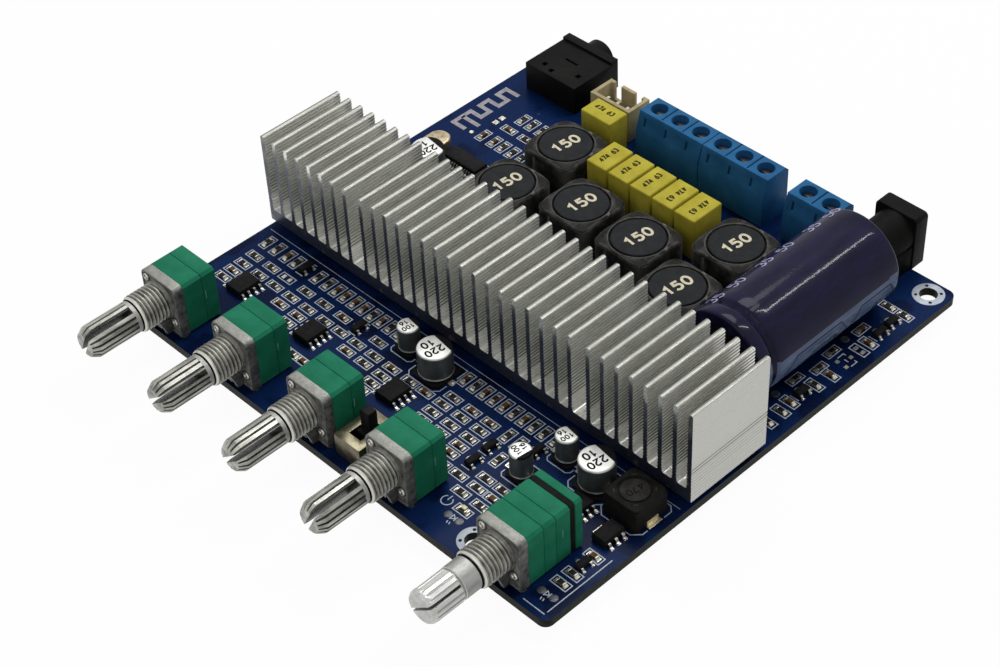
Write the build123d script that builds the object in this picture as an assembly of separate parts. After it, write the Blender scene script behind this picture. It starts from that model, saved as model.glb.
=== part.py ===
from build123d import *
import math
import os

os.makedirs("parts", exist_ok=True)

# Lengths are millimetres. Pieces are drawn from the board's front left corner: x runs to the
# right along the potentiometers, y runs to the back and z up from the board's underside.
# At the end everything moves so that the origin is the middle of the underside.

# Board
board_thickness = 1.6
board_corner_radius = 1.6
mount_hole_radius = 1.6
front_hole_from_right = 19.75
front_hole_from_front = 4.2
rear_hole_from_right = 3.7
rear_hole_from_back = 3.3
lead_clearance = 0.05
lead_tail = 1.2
support_tail = 1.6

# Heatsink
small_parts_to_heatsink = 4.1
heatsink_depth = 17.9
heatsink_height = 19.0
heatsink_base = 2.6
fin_thickness = 0.85
fin_tip_chamfer = 0.2
fin_groups = [8, 17, 8]
fin_group_extra = 1.0
heatsink_screw_radius = 1.5
heatsink_screw_head_radius = 2.75

# Amplifier chips under the heatsink
amplifier_length = 11.0
amplifier_width = 6.1
amplifier_height = 0.95
amplifier_lead_reach = 1.0
amplifier_lead_row = 10.0
amplifier_spacing = 27.0
pad_thickness = 0.25

# Potentiometers
pot_from_left = 7.9
pot_pitch = 19.2
volume_from_right = 11.35
pot_width = 9.2
pot_top = 10.95
pot_shaft_height = 6.5
pot_face_from_front = 1.5
plate_thickness = 1.9
plate_corner_radius = 1.1
plate_foot_gap = 0.3
gusset_spacing = 3.4
gusset_reach = 2.2
gusset_thickness = 0.8
gusset_root = 0.5
pot_leg_width = 1.0
pot_leg_thickness = 0.8
body_depth = 6.9
body_foot_gap = 0.5
body_corner = 0.5
body_seam_at = 4.0
seam_width = 0.16
seam_depth = 0.12
switch_wafer_seams = [3.4, 6.0, 9.05, 10.15]
switch_wafer_depth = 4.8
bushing_radius = 3.5
bushing_length = 5.7
bushing_root_step = 0.2
shaft_radius = 3.0
shaft_length = 15.9
shaft_clearance = 0.05
shaft_inset = 1.3
knurl_teeth = 18
knurl_depth = 0.28
tip_length = 1.3
tip_taper = 0.7
slot_width = 1.0
slot_depth = 9.2
collar_length = 1.0
volume_tip_length = 0.5
volume_tip_taper = 0.35
volume_slot_depth = 6.0
volume_collar_length = 3.9
slot_angles = [64, 46, 45, 54, 40]
pot_pin_pitch = 2.5
pot_pin_width = 0.8
pot_pin_thickness = 0.4
pot_pin_rows = [2.6, 5.4]
wafer_pin_row = 10.5

# Slide switch between the third and fourth potentiometers
switch_offset = -0.75
switch_from_front = 1.9
switch_width = 6.1
switch_length = 8.5
switch_height = 4.3
switch_sheet = 0.35
switch_corner_radius = 0.3
switch_base_thickness = 0.9
switch_leg_width = 1.2
switch_pin_pitch = 2.0
switch_row_spacing = 3.4
switch_pin_width = 0.6
switch_pin_thickness = 0.3
lever_width = 2.1
lever_length = 1.9
lever_top = 8.0
lever_travel = 2.0
lever_clearance = 0.15
slider_reach = 0.85

# Power jack
jack_to_reservoir_axis = 0.9
jack_gap = 0.6
jack_width = 8.9
jack_height = 11.0
jack_length = 13.8
jack_flange_thickness = 3.3
jack_flange_corner = 0.9
jack_barrel_radius = 4.1
jack_base_drop = 1.6
jack_base_inset = 0.3
jack_bore_radius = 3.15
jack_bore_depth = 9.5
jack_pin_radius = 1.05
jack_pin_seat = 2.4
jack_pin_inset = 1.5
jack_axis_height = 6.6
jack_overhang = 3.1
jack_lug_width = 1.6
jack_lug_thickness = 0.8
jack_lug_rows = [1.0, 7.0]
jack_side_lug_row = 4.0

# Audio jack
audio_from_left = 4.8
audio_width = 13.0
audio_height = 6.0
audio_body_length = 10.3
audio_flange_thickness = 1.8
audio_flange_height = 6.6
audio_barrel_radius = 3.3
audio_barrel_length = 2.5
audio_barrel_chamfer = 0.33
audio_bore_radius = 1.8
audio_bore_depth = 13.0
audio_overhang = 4.1
audio_recess_depth = 0.8
audio_roof_recesses = [(-3.4, 2.1, 1.0, 1.0), (-1.0, 1.4, 1.0, 1.0), (4.2, 3.5, 1.0, 1.0),
                       (0.0, 6.0, 3.2, 0.5)]
audio_pin_width = 0.9
audio_pin_thickness = 0.5
audio_pin_inset = 1.2
audio_pin_rows = [2.1, 6.7]

# Three-pin header
audio_to_header = 3.7
header_pin_spacing = 2.5
header_pins = 3
header_end_length = 2.45
header_depth = 5.8
header_height = 7.0
header_wall = 0.8
header_floor = 1.6
header_from_back = 1.6
film_to_header = 2.15
header_pin_width = 0.64
header_pin_top = 5.6
header_pin_from_front = 2.4
header_notch_width = 1.8
header_notch_spacing = 5.2
header_notch_depth = 3.8

# Screw terminals
header_to_terminals = 3.5
terminal_block_gap = 0.2
terminal_to_jack = 3.0
terminal_pitch = 5.08
terminal_poles = [3, 3, 2]
terminal_height = 10.0
terminal_depth = 7.0
terminal_from_back = 2.3
terminal_shoulder_drop = 4.2
terminal_shoulder_run = 1.25
terminal_back_chamfer = 0.8
divider_width = 0.3
divider_depth = 0.5
sight_slot_width = 0.5
sight_slot_offset = 0.85
sight_slot_top = 1.1
sight_slot_bottom = 2.9
well_radius = 1.65
well_depth = 3.0
well_floor_thickness = 0.6
screw_axis_from_back = 3.2
chamber_width = 3.9
chamber_depth = 3.9
chamber_floor = 0.9
screw_head_radius = 1.5
screw_head_height = 1.4
screw_head_clearance = 0.05
screw_slot_width = 0.5
screw_slot_depth = 0.7
screw_shank_radius = 1.2
screw_clearance = 0.07
clamp_wall = 0.5
clamp_travel = 2.0
clamp_clearance = 0.1
tab_width = 2.4
tab_thickness = 0.5
terminal_pin_width = 1.1
entry_width = 3.1
entry_height = 3.4

# Reservoir capacitor
reservoir_radius = 8.8
reservoir_length = 35.5
reservoir_to_heatsink = 3.9
reservoir_from_right = 13.3
reservoir_groove = 0.7
reservoir_groove_at = 3.6
reservoir_groove_half_width = 1.1
reservoir_end_radius = 0.7
reservoir_lead_pitch = 7.5
reservoir_lead_radius = 0.4
reservoir_lead_drop = 5.0
reservoir_lead_reach = 1.6

# Output inductors, in two corner columns and a middle pair
inductors_from_left = 23.95
inductor_size = 12.1
inductor_height = 7.9
inductor_corner = 1.2
inductor_core_radius = 5.15
inductor_core_step = 0.35
inductor_gaps = [1.8, 1.6, 1.4]
inductor_to_reservoir = 2.75
heatsink_to_inductors = 6.9
inductor_row_gap = 2.95
middle_pair_shift = 4.85

# Boost inductor
boost_size = 7.4
boost_height = 4.6
boost_corner = 0.5
boost_from_right = 6.1
boost_from_front = 26.1
boost_recess_radius = 2.6
boost_recess_depth = 0.4

# Film capacitors
film_length = 7.4
film_width = 4.8
film_height = 9.0
film_edge = 0.35
film_lead_pitch = 5.0
film_lead_width = 0.6
film_count = 5
film_gap = 0.5
film_to_inductor_column = 0.9
film_to_far_column = 2.1
film_to_middle_pair = 2.35
film_to_back_row = 2.3
film_single_from_header = 7.9

# Surface-mount electrolytic capacitors
can_radius_large = 3.15
can_radius_small = 2.0
can_height_large = 5.8
can_height_small = 5.5
can_height_tall = 7.7
can_base_height = 0.7
can_base_margin = 0.15
can_base_cut = 0.3
can_rim = 0.25
row_nearest_heatsink = 28.2
small_can_places = [(42.9, 26.9), (77.5, 19.3), (80.4, 26.8)]
large_can_place = (50.4, 26.0)
boost_can_from_right = 14.3
boost_can_from_front = 26.1
tall_can_from_left = 11.9
tall_can_from_heatsink = 10.3
middle_can_from_left = 46.8
middle_can_to_inductor = 1.8

# Small parts
crystal_width = 4.5
crystal_length = 10.6
crystal_height = 2.6
crystal_to_can = 0.15
crystal_from_heatsink = 15.0
resistor_length = 1.6
resistor_width = 0.85
resistor_height = 0.5
lead_sheet = 0.25
driver_chip = dict(length=4.9, width=3.9, height=1.5, pitch=1.27, leads=4, reach=1.05)
radio_chip = dict(length=8.6, width=3.4, height=1.6, pitch=0.65, leads=12, reach=0.8)
transistor = dict(length=2.9, width=1.4, height=1.0, pitch=0.95, leads=2, reach=0.55)
regulator = dict(length=4.6, width=3.0, height=1.6, pitch=1.5, leads=3, reach=0.8)
driver_row = 17.4
driver_places = [9.9, 28.0, 49.2]
right_driver_from_right = 13.0
right_driver_row = 19.7
radio_from_left = 13.6
radio_from_heatsink = 17.8
regulator_from_right = 5.2
regulator_row = 19.1
front_transistors = [(14.2, row_nearest_heatsink), (32.7, 24.3), (75.9, 24.4), (69.6, 19.9),
                     (69.9, 15.8)]
right_transistor_from_right = 4.0
right_transistor_row = 12.2
rear_transistors = [(4.0, 13.8), (3.6, 33.8), (3.8, 37.3)]

# Rows of chip resistors and capacitors: how far back a row lies, then its places. Front rows
# lie back from the front edge, rear rows from the heatsink. Places run from the left edge, or
# from the right edge or the fourth shaft where the name says so.
front_rows_across = [
    (24.2, [4.7, 9.4, 18.9, 23.7, 28.6, 37.8]),
    (23.7, [57.0, 61.5, 65.8]),
    (21.4, [4.8, 9.3, 13.6, 18.0, 22.5, 27.0, 31.1, 35.4, 39.8, 44.3, 48.8, 52.6, 56.8, 61.2, 65.7]),
    (19.0, [4.8, 17.9, 22.5, 35.4, 39.8, 44.3, 56.8, 61.2, 65.7]),
    (16.7, [4.8, 22.5, 44.3, 56.8, 61.2, 65.7]),
    (14.6, [44.3, 65.7]),
    (12.2, [29.3, 32.0, 66.5, 70.3]),
]
front_rows_upright = [
    (row_nearest_heatsink, [3.6, 6.4, 9.3, 11.7, 17.6, 20.3, 22.7, 25.0, 27.4, 29.7, 32.1, 34.4, 36.7,
                            38.9, 55.4, 57.8, 60.1, 62.4, 64.7, 67.0, 69.3, 71.6, 73.9, 76.4]),
    (23.7, [69.9, 72.5]),
    (18.9, [72.7]),
]
shaft_rows_across = [(14.6, [8.7, 12.5]), (12.2, [9.1, 12.7]), (9.8, [7.9, 12.3]), (7.3, [11.0])]
right_rows_across = [(14.6, [4.0]), (9.8, [3.9]), (7.3, [3.9])]
rear_left_rows_across = [(30.8, [12.0, 16.5])]
rear_left_rows_upright = [(26.3, [9.6, 12.6, 15.0, 17.5, 20.0]), (34.8, [11.8, 14.3, 17.0])]
rear_right_rows_across = [(4.8, [3.7]), (8.2, [3.7]), (10.8, [4.0]), (16.7, [3.6]), (20.3, [3.2]),
                          (30.7, [3.5]), (40.2, [6.7, 3.4])]
rear_right_rows_upright = [(15.6, [6.8]), (20.3, [5.6]), (24.8, [6.6]), (32.5, [6.5])]

# Worked out from the sizes above
board_top = board_thickness
lead_end = -lead_tail
inductor_columns = [inductors_from_left + inductor_size / 2]
for gap in inductor_gaps[:2]:
    inductor_columns.append(inductor_columns[-1] + inductor_size + gap)
film_row_length = film_count * film_width + (film_count - 1) * film_gap
film_span = film_to_inductor_column + film_row_length + film_to_far_column
middle_span = 2 * inductor_size + sum(inductor_gaps)
inductor_columns.append(inductor_columns[0] + inductor_size + max(film_span, middle_span))
reservoir_x = inductor_columns[-1] + inductor_size / 2 + inductor_to_reservoir + reservoir_radius
board_width = reservoir_x + reservoir_from_right
heatsink_from_front = row_nearest_heatsink + small_parts_to_heatsink
heatsink_back = heatsink_from_front + heatsink_depth
heatsink_middle = heatsink_from_front + heatsink_depth / 2
front_row = heatsink_back + heatsink_to_inductors + inductor_size / 2
back_row = front_row + inductor_size + inductor_row_gap
middle_row = front_row + middle_pair_shift
single_film_y = back_row + (inductor_size + film_width) / 2 + film_to_back_row
header_row_back = single_film_y + film_width / 2 + film_to_header + header_depth + header_from_back
reservoir_front = heatsink_back + reservoir_to_heatsink
reservoir_row_back = reservoir_front + reservoir_length + jack_gap + jack_length - jack_overhang
board_depth = max(header_row_back, reservoir_row_back)
jack_back = board_depth + jack_overhang
jack_front = jack_back - jack_length
to_origin = Pos(-board_width / 2, -board_depth / 2, 0)

# Pieces by node name, each one solid or a list of separate solids, and cuts through the board
nodes = {}
board_cuts = []


def box(x0, x1, y0, y1, z0, z1):
    middle = Pos((x0 + x1) / 2, (y0 + y1) / 2, (z0 + z1) / 2)
    return middle * Box(x1 - x0, y1 - y0, z1 - z0)


def block(x, y, size_x, size_y, z0, z1):
    return Pos(x, y, (z0 + z1) / 2) * Box(size_x, size_y, z1 - z0)


def rod(x, y, z0, z1, radius):
    return Pos(x, y, (z0 + z1) / 2) * Cylinder(radius, z1 - z0)


def lead(x, y, top, width, depth, tail=lead_tail):
    """A flat lead down through the board, with a slot of its own shape."""
    slot = 2 * lead_clearance
    board_cuts.append(block(x, y, width + slot, depth + slot, 0, board_top))
    return block(x, y, width, depth, -tail, top)


def facing_front(x, y, z):
    """A place whose z points to the front and whose y points up."""
    return Plane(origin=(x, y, z), x_dir=(1, 0, 0), z_dir=(0, -1, 0)).location


def facing_back(x, y, z):
    """A place whose z points to the back and whose y points up."""
    return Plane(origin=(x, y, z), x_dir=(-1, 0, 0), z_dir=(0, 1, 0)).location


def side_profile(points, x0, x1):
    """An outline of (y, z) points, extruded along x."""
    face = make_face(Polyline(*[(x0, y, z) for y, z in points], close=True))
    return extrude(face, x1 - x0, dir=(1, 0, 0))


def turned(points):
    """An outline of (radius, height) points, turned about z."""
    return revolve(make_face(Polyline(*[(r, 0, h) for r, h in points], close=True)), Axis.Z)


# Potentiometers: die-cast plate with bushing, moulded body, split shaft, pins
pot_centres = [pot_from_left + pot_pitch * i for i in range(4)]
pot_centres.append(board_width - volume_from_right)
shaft_z = board_top + pot_shaft_height
plate_back = pot_face_from_front + plate_thickness


def pot_plate(x):
    foot = plate_foot_gap - pot_shaft_height
    top = pot_top - pot_shaft_height
    outline = Pos(0, (top + foot) / 2) * Rectangle(pot_width, top - foot)
    outline = fillet(outline.vertices().group_by(Axis.Y)[-1], plate_corner_radius)
    plate = extrude(outline, -plate_thickness)
    plate += Pos(0, 0, bushing_length / 2) * Cylinder(bushing_radius, bushing_length)
    # plain root beside the thread, and gussets that stiffen the plate under it
    plate += Pos(0, 0, gusset_reach / 2) * Cylinder(bushing_radius + bushing_root_step, gusset_reach)
    for side in (-1, 1):
        left = (side * gusset_spacing - gusset_thickness) / 2
        root = gusset_root - bushing_radius
        corners = [(foot, 0), (foot, gusset_reach / 2), (root, gusset_reach), (root, 0)]
        face = make_face(Polyline(*[(left, v, w) for v, w in corners], close=True))
        plate += extrude(face, gusset_thickness, dir=(1, 0, 0))
    bore_length = bushing_length + plate_thickness
    bore = Cylinder(shaft_radius + shaft_clearance, bore_length)
    plate -= Pos(0, 0, bore_length / 2 - plate_thickness) * bore
    plate = facing_front(x, pot_face_from_front, shaft_z) * plate
    leg_shift = (pot_width - pot_leg_width) / 2
    leg_top = board_top + 2 * plate_foot_gap
    for side in (-1, 1):
        plate += lead(x + side * leg_shift, pot_face_from_front + plate_thickness / 2, leg_top,
                      pot_leg_width, pot_leg_thickness, support_tail)
    return plate


def pot_body(x, depth, seams):
    bottom = board_top + body_foot_gap
    top = board_top + pot_top - seam_depth
    body = block(x, plate_back + depth / 2, pot_width, depth, bottom, top)
    body = chamfer(body.edges().filter_by(Axis.Y).group_by(Axis.Z)[-1], body_corner)
    for seam in seams:
        y = plate_back + seam
        inner = pot_width - 2 * seam_depth
        groove = block(x, y, pot_width, seam_width, bottom, top)
        groove -= block(x, y, inner, seam_width, bottom, top - seam_depth)
        body -= groove
    pocket = Cylinder(shaft_radius + shaft_clearance, shaft_inset + shaft_clearance)
    pocket_depth = (shaft_inset + shaft_clearance) / 2
    return body - facing_back(x, plate_back + pocket_depth, shaft_z) * pocket


def pot_shaft(x, angle, collar, slot, nose_length, taper):
    inner_end = -plate_thickness - shaft_inset
    knurl_start = bushing_length + collar
    knurl_length = shaft_length - knurl_start
    core = Pos(0, 0, (inner_end + knurl_start) / 2) * Cylinder(shaft_radius, knurl_start - inner_end)
    teeth = []
    for i in range(2 * knurl_teeth):
        turn = math.pi * i / knurl_teeth
        reach = shaft_radius - knurl_depth * (i % 2)
        teeth.append((reach * math.cos(turn), reach * math.sin(turn)))
    outline = make_face(Polyline(*teeth, close=True))
    shoulder = knurl_length - nose_length
    tip = scale(outline, 1 - taper / shaft_radius)
    nose = loft([Pos(0, 0, shoulder) * outline, Pos(0, 0, knurl_length) * tip], ruled=True)
    shaft = core + Pos(0, 0, knurl_start) * (extrude(outline, shoulder) + nose)
    cutter = Rot(0, 0, angle) * Box(2 * shaft_radius, slot_width, slot)
    shaft -= Pos(0, 0, shaft_length - slot / 2) * cutter
    return facing_front(x, pot_face_from_front, shaft_z) * shaft


def pot_pin_row(x, y, columns):
    top = board_top + body_foot_gap
    row = [x + column * pot_pin_pitch for column in columns]
    return [lead(at, y, top, pot_pin_width, pot_pin_thickness) for at in row]


pot_pins = []
for i, x in enumerate(pot_centres):
    is_volume = i == len(pot_centres) - 1
    depth = body_depth + switch_wafer_depth if is_volume else body_depth
    seams = switch_wafer_seams if is_volume else [body_seam_at]
    collar = volume_collar_length if is_volume else collar_length
    slot = volume_slot_depth if is_volume else slot_depth
    nose_length = volume_tip_length if is_volume else tip_length
    taper = volume_tip_taper if is_volume else tip_taper
    nodes[f"pot_plate_{i + 1}"] = pot_plate(x)
    nodes[f"pot_body_{i + 1}"] = pot_body(x, depth, seams)
    nodes[f"pot_shaft_{i + 1}"] = pot_shaft(x, slot_angles[i], collar, slot, nose_length, taper)
    for row in pot_pin_rows:
        pot_pins += pot_pin_row(x, plate_back + row, (-1, 0, 1))
    if is_volume:
        pot_pins += pot_pin_row(x, plate_back + wafer_pin_row, (-1, 1))
nodes["pot_pins"] = pot_pins


# Slide switch: folded shell, base with pins, lever on a slider
switch_x = (pot_centres[2] + pot_centres[3]) / 2 + switch_offset
switch_y = switch_from_front + switch_length / 2
shell_top = board_top + switch_height
cavity_top = shell_top - switch_sheet
cavity_width = switch_width - 2 * switch_sheet
cavity_length = switch_length - 2 * switch_sheet
slot_length = lever_length + lever_travel + 4 * lever_clearance
slot_width_across = lever_width + 4 * lever_clearance
shell = block(switch_x, switch_y, switch_width, switch_length, board_top, shell_top)
shell = fillet(shell.edges().filter_by(Axis.Z), switch_corner_radius)
shell -= block(switch_x, switch_y, cavity_width, cavity_length, board_top, cavity_top)
shell -= block(switch_x, switch_y, slot_width_across, slot_length, cavity_top, shell_top)
for side in (-1, 1):
    leg_y = switch_y + side * (switch_length - switch_sheet) / 2
    shell += lead(switch_x, leg_y, board_top + switch_sheet, switch_leg_width, switch_sheet)
nodes["switch_shell"] = shell

base_top = board_top + switch_base_thickness
nodes["switch_base"] = block(switch_x, switch_y, cavity_width, cavity_length, board_top, base_top)

lever_y = switch_y + lever_travel / 2
lever_bottom = base_top + lever_clearance
slider_width = cavity_width - 2 * lever_clearance
slider_length = lever_length + 2 * slider_reach
lever = block(switch_x, lever_y, lever_width, lever_length, lever_bottom, board_top + lever_top)
lever = chamfer(lever.edges().group_by(Axis.Z)[-1], lever_clearance)
lever += block(switch_x, lever_y, slider_width, slider_length, lever_bottom, cavity_top - lever_clearance)
nodes["switch_lever"] = lever

switch_pins = []
for side in (-1, 1):
    for step in (-1, 0, 1):
        x = switch_x + side * switch_row_spacing / 2
        y = switch_y + step * switch_pin_pitch
        switch_pins.append(lead(x, y, board_top, switch_pin_width, switch_pin_thickness))
nodes["switch_pins"] = switch_pins


# Heatsink: one extrusion with three groups of fins, screwed on from below
heatsink_bottom = board_top + amplifier_height + pad_thickness
heatsink_top = heatsink_bottom + heatsink_height
fin_foot = heatsink_bottom + heatsink_base
fin_shoulder = heatsink_top - fin_tip_chamfer
fin_span = board_width - fin_thickness - fin_group_extra * (len(fin_groups) - 1)
fin_pitch = fin_span / (sum(fin_groups) - 1)
fin_lefts = []
screw_xs = []
next_fin = 0
for group, count in enumerate(fin_groups):
    for i in range(count):
        fin_lefts.append(next_fin)
        next_fin += fin_pitch
    if group < len(fin_groups) - 1:
        screw_xs.append(next_fin + (fin_group_extra - fin_pitch + fin_thickness) / 2)
        next_fin += fin_group_extra
section = []
for fin_left in fin_lefts:
    fin_right = fin_left + fin_thickness
    section += [(fin_left, fin_foot), (fin_left, fin_shoulder), (fin_left + fin_tip_chamfer, heatsink_top)]
    section += [(fin_right - fin_tip_chamfer, heatsink_top), (fin_right, fin_shoulder), (fin_right, fin_foot)]
# the outer flanks of the end fins run down to the underside
section[0] = (0, heatsink_bottom)
section[-1] = (board_width, heatsink_bottom)
comb = make_face(Polyline(*[(x, heatsink_from_front, z) for x, z in section], close=True))
heatsink = extrude(comb, heatsink_depth, dir=(0, 1, 0))
heatsink_screws = []
for x in screw_xs:
    heatsink -= rod(x, heatsink_middle, heatsink_bottom, fin_foot, heatsink_screw_radius)
    hole_radius = heatsink_screw_radius + lead_clearance
    board_cuts.append(rod(x, heatsink_middle, 0, board_top, hole_radius))
    screw = rod(x, heatsink_middle, -support_tail, 0, heatsink_screw_head_radius)
    screw += rod(x, heatsink_middle, 0, fin_foot, heatsink_screw_radius)
    heatsink_screws.append(screw)
nodes["heatsink"] = heatsink
nodes["heatsink_screws"] = heatsink_screws

amplifier_chips = []
thermal_pads = []
amplifier_top = board_top + amplifier_height
for side in (-1, 1):
    x = board_width / 2 + side * amplifier_spacing / 2
    chip = block(x, heatsink_middle, amplifier_length, amplifier_width, board_top, amplifier_top)
    lead_span = amplifier_width + 2 * amplifier_lead_reach
    lead_top = board_top + lead_sheet
    chip += block(x, heatsink_middle, amplifier_lead_row, lead_span, board_top, lead_top)
    amplifier_chips.append(chip)
    thermal_pads.append(block(x, heatsink_middle, amplifier_length, amplifier_width, amplifier_top,
                              heatsink_bottom))
nodes["amplifier_chips"] = amplifier_chips
nodes["thermal_pads"] = thermal_pads


# Power jack: flange at the back, round barrel on a square base, centre pin and lugs
jack_x = reservoir_x - jack_to_reservoir_axis
jack_left = jack_x - jack_width / 2
flange_front = jack_back - jack_flange_thickness
jack_axis_z = board_top + jack_axis_height
barrel_length = flange_front - jack_front
flange = box(jack_left, jack_left + jack_width, flange_front, jack_back, board_top,
             board_top + jack_height)
flange = fillet(flange.edges().filter_by(Axis.Y).group_by(Axis.Z)[-1], jack_flange_corner)
base_inset = jack_base_inset
jack = flange + box(jack_left + base_inset, jack_left + jack_width - base_inset, jack_front,
                    flange_front, board_top, jack_axis_z - jack_base_drop)
barrel = Pos(0, 0, barrel_length / 2) * Cylinder(jack_barrel_radius, barrel_length)
jack += facing_back(jack_x, jack_front, jack_axis_z) * barrel
bore = Pos(0, 0, jack_bore_depth / 2) * Cylinder(jack_bore_radius, jack_bore_depth)
jack -= facing_back(jack_x, jack_back - jack_bore_depth, jack_axis_z) * bore
pin_start = jack_back - jack_bore_depth - jack_pin_seat
pin_length = jack_bore_depth + jack_pin_seat - jack_pin_inset
centre_pin = Cylinder(jack_pin_radius, pin_length)
centre_pin = chamfer(centre_pin.edges().group_by(Axis.Z)[-1], jack_pin_radius / 3)
centre_pin = facing_back(jack_x, pin_start + pin_length / 2, jack_axis_z) * centre_pin
seat = Cylinder(jack_pin_radius, jack_pin_seat)
jack -= facing_back(jack_x, pin_start + jack_pin_seat / 2, jack_axis_z) * seat
nodes["power_jack_housing"] = jack
jack_contacts = [centre_pin]
side_lug_x = jack_left + jack_width - jack_base_inset - jack_lug_width / 2
lug_places = [(jack_x, row) for row in jack_lug_rows] + [(side_lug_x, jack_side_lug_row)]
for x, row in lug_places:
    jack_contacts.append(lead(x, jack_front + row, board_top, jack_lug_width, jack_lug_thickness,
                              support_tail))
nodes["power_jack_contacts"] = jack_contacts


# Audio jack: low moulded body with a flange and a barrel at the back
audio_x = audio_from_left + audio_width / 2
audio_right = audio_from_left + audio_width
audio_back = board_depth + audio_overhang
audio_flange_front = audio_back - audio_flange_thickness
audio_front = audio_flange_front - audio_body_length
audio_roof = board_top + audio_height
audio_axis_z = board_top + audio_barrel_radius
audio = box(audio_from_left, audio_right, audio_front, audio_flange_front, board_top, audio_roof)
audio += box(audio_from_left, audio_right, audio_flange_front, audio_back, board_top,
             board_top + audio_flange_height)
barrel = Cylinder(audio_barrel_radius, audio_barrel_length)
barrel = chamfer(barrel.edges().group_by(Axis.Z)[-1], audio_barrel_chamfer)
audio += facing_back(audio_x, audio_back + audio_barrel_length / 2, audio_axis_z) * barrel
audio_mouth = audio_back + audio_barrel_length
bore = Cylinder(audio_bore_radius, audio_bore_depth)
audio -= facing_back(audio_x, audio_mouth - audio_bore_depth / 2, audio_axis_z) * bore
# moulding recesses in the roof
for x, y, size_x, size_y in audio_roof_recesses:
    audio -= block(audio_x + x, audio_front + y, size_x, size_y, audio_roof - audio_recess_depth,
                   audio_roof)
nodes["audio_jack_housing"] = audio
audio_contacts = []
left_row = audio_from_left + audio_pin_inset
right_row = audio_right - audio_pin_inset
for x in (left_row, right_row):
    for row in audio_pin_rows:
        audio_contacts.append(lead(x, audio_front + row, board_top, audio_pin_width, audio_pin_thickness))
nodes["audio_jack_contacts"] = audio_contacts


# Three-pin header: open shell with two notches in its back wall
header_left = audio_right + audio_to_header
header_width = header_pin_spacing * (header_pins - 1) + 2 * header_end_length
header_x = header_left + header_width / 2
header_back = board_depth - header_from_back
header_front = header_back - header_depth
header_y = header_front + header_depth / 2
header_roof = board_top + header_height
header = block(header_x, header_y, header_width, header_depth, board_top, header_roof)
header -= block(header_x, header_y, header_width - 2 * header_wall, header_depth - 2 * header_wall,
                board_top + header_floor, header_roof)
for side in (-1, 1):
    notch_x = header_x + side * header_notch_spacing / 2
    header -= block(notch_x, header_back - header_wall / 2, header_notch_width, header_wall,
                    header_roof - header_notch_depth, header_roof)
header_pin_y = header_front + header_pin_from_front
header_pin_list = []
for i in range(header_pins):
    x = header_x + (i - (header_pins - 1) / 2) * header_pin_spacing
    header -= block(x, header_pin_y, header_pin_width, header_pin_width, board_top,
                    board_top + header_floor)
    header_pin_list.append(lead(x, header_pin_y, board_top + header_pin_top, header_pin_width,
                                header_pin_width))
nodes["header_housing"] = header
nodes["header_pins"] = header_pin_list


# Screw terminals: for each pole a well, a chamber, a screw, a rising clamp and a pin
terminal_back = board_depth - terminal_from_back
terminal_front = terminal_back - terminal_depth
terminal_roof = board_top + terminal_height
shoulder_z = terminal_roof - terminal_shoulder_drop
roof_front = terminal_front + terminal_shoulder_run
screw_y = terminal_back - screw_axis_from_back
well_floor = terminal_roof - well_depth
chamber_top = well_floor - well_floor_thickness
chamber_bottom = board_top + chamber_floor
clamp_front = screw_y - chamber_depth / 2 + clamp_clearance
clamp_back = screw_y + chamber_depth / 2 - clamp_clearance
tab_front = clamp_front - clamp_clearance - tab_thickness
clamp_bottom = chamber_bottom + clamp_clearance / 2
clamp_top = chamber_top - clamp_clearance - clamp_travel
clamp_width = chamber_width - 2 * clamp_clearance
head_bottom = well_floor + screw_head_clearance
head_top = head_bottom + screw_head_height
screw_tip = clamp_bottom + clamp_wall + clamp_travel + clamp_clearance
shank_hole = screw_shank_radius + screw_clearance


def terminal_pole_cuts(x):
    """The well, shank hole, chamber, wire entry and sight slot of one pole."""
    entry_y = screw_y + chamber_depth / 2
    tab_half = tab_width / 2 + lead_clearance
    pin = terminal_pin_width
    sight_x = x - sight_slot_offset
    return [
        rod(x, screw_y, well_floor, terminal_roof, well_radius),
        rod(x, screw_y, chamber_top, well_floor, shank_hole),
        block(x, screw_y, chamber_width, chamber_depth, chamber_bottom, chamber_top),
        box(x - tab_half, x + tab_half, tab_front, screw_y, chamber_bottom, chamber_top),
        block(x, tab_front + tab_thickness, pin, pin, board_top, chamber_bottom),
        box(x - entry_width / 2, x + entry_width / 2, entry_y, terminal_back, chamber_bottom,
            chamber_bottom + entry_height),
        box(sight_x - sight_slot_width / 2, sight_x + sight_slot_width / 2, terminal_front,
            roof_front, terminal_roof - sight_slot_bottom, terminal_roof - sight_slot_top),
    ]


def terminal_screw(x):
    screw = rod(x, screw_y, head_bottom, head_top, screw_head_radius)
    screw += rod(x, screw_y, screw_tip, head_bottom, screw_shank_radius)
    return screw - block(x, screw_y, 2 * screw_head_radius, screw_slot_width,
                         head_top - screw_slot_depth, head_top)


def terminal_clamp(x):
    """A cage around the wire that climbs the screw."""
    clamp_y = (clamp_front + clamp_back) / 2
    clamp_depth = clamp_back - clamp_front
    cage = block(x, clamp_y, clamp_width, clamp_depth, clamp_bottom, clamp_top)
    cage -= block(x, clamp_y, clamp_width - 2 * clamp_wall, clamp_depth, clamp_bottom + clamp_wall,
                  clamp_top - clamp_wall)
    return cage - rod(x, screw_y, clamp_top - clamp_wall, clamp_top, shank_hole)


def terminal_pin(x):
    """A contact tab along the chamber's front wall, with its pin."""
    tab = box(x - tab_width / 2, x + tab_width / 2, tab_front, tab_front + tab_thickness,
              chamber_bottom, chamber_top)
    pin_y = tab_front + tab_thickness
    return tab + lead(x, pin_y, chamber_bottom, terminal_pin_width, terminal_pin_width, support_tail)


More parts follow.
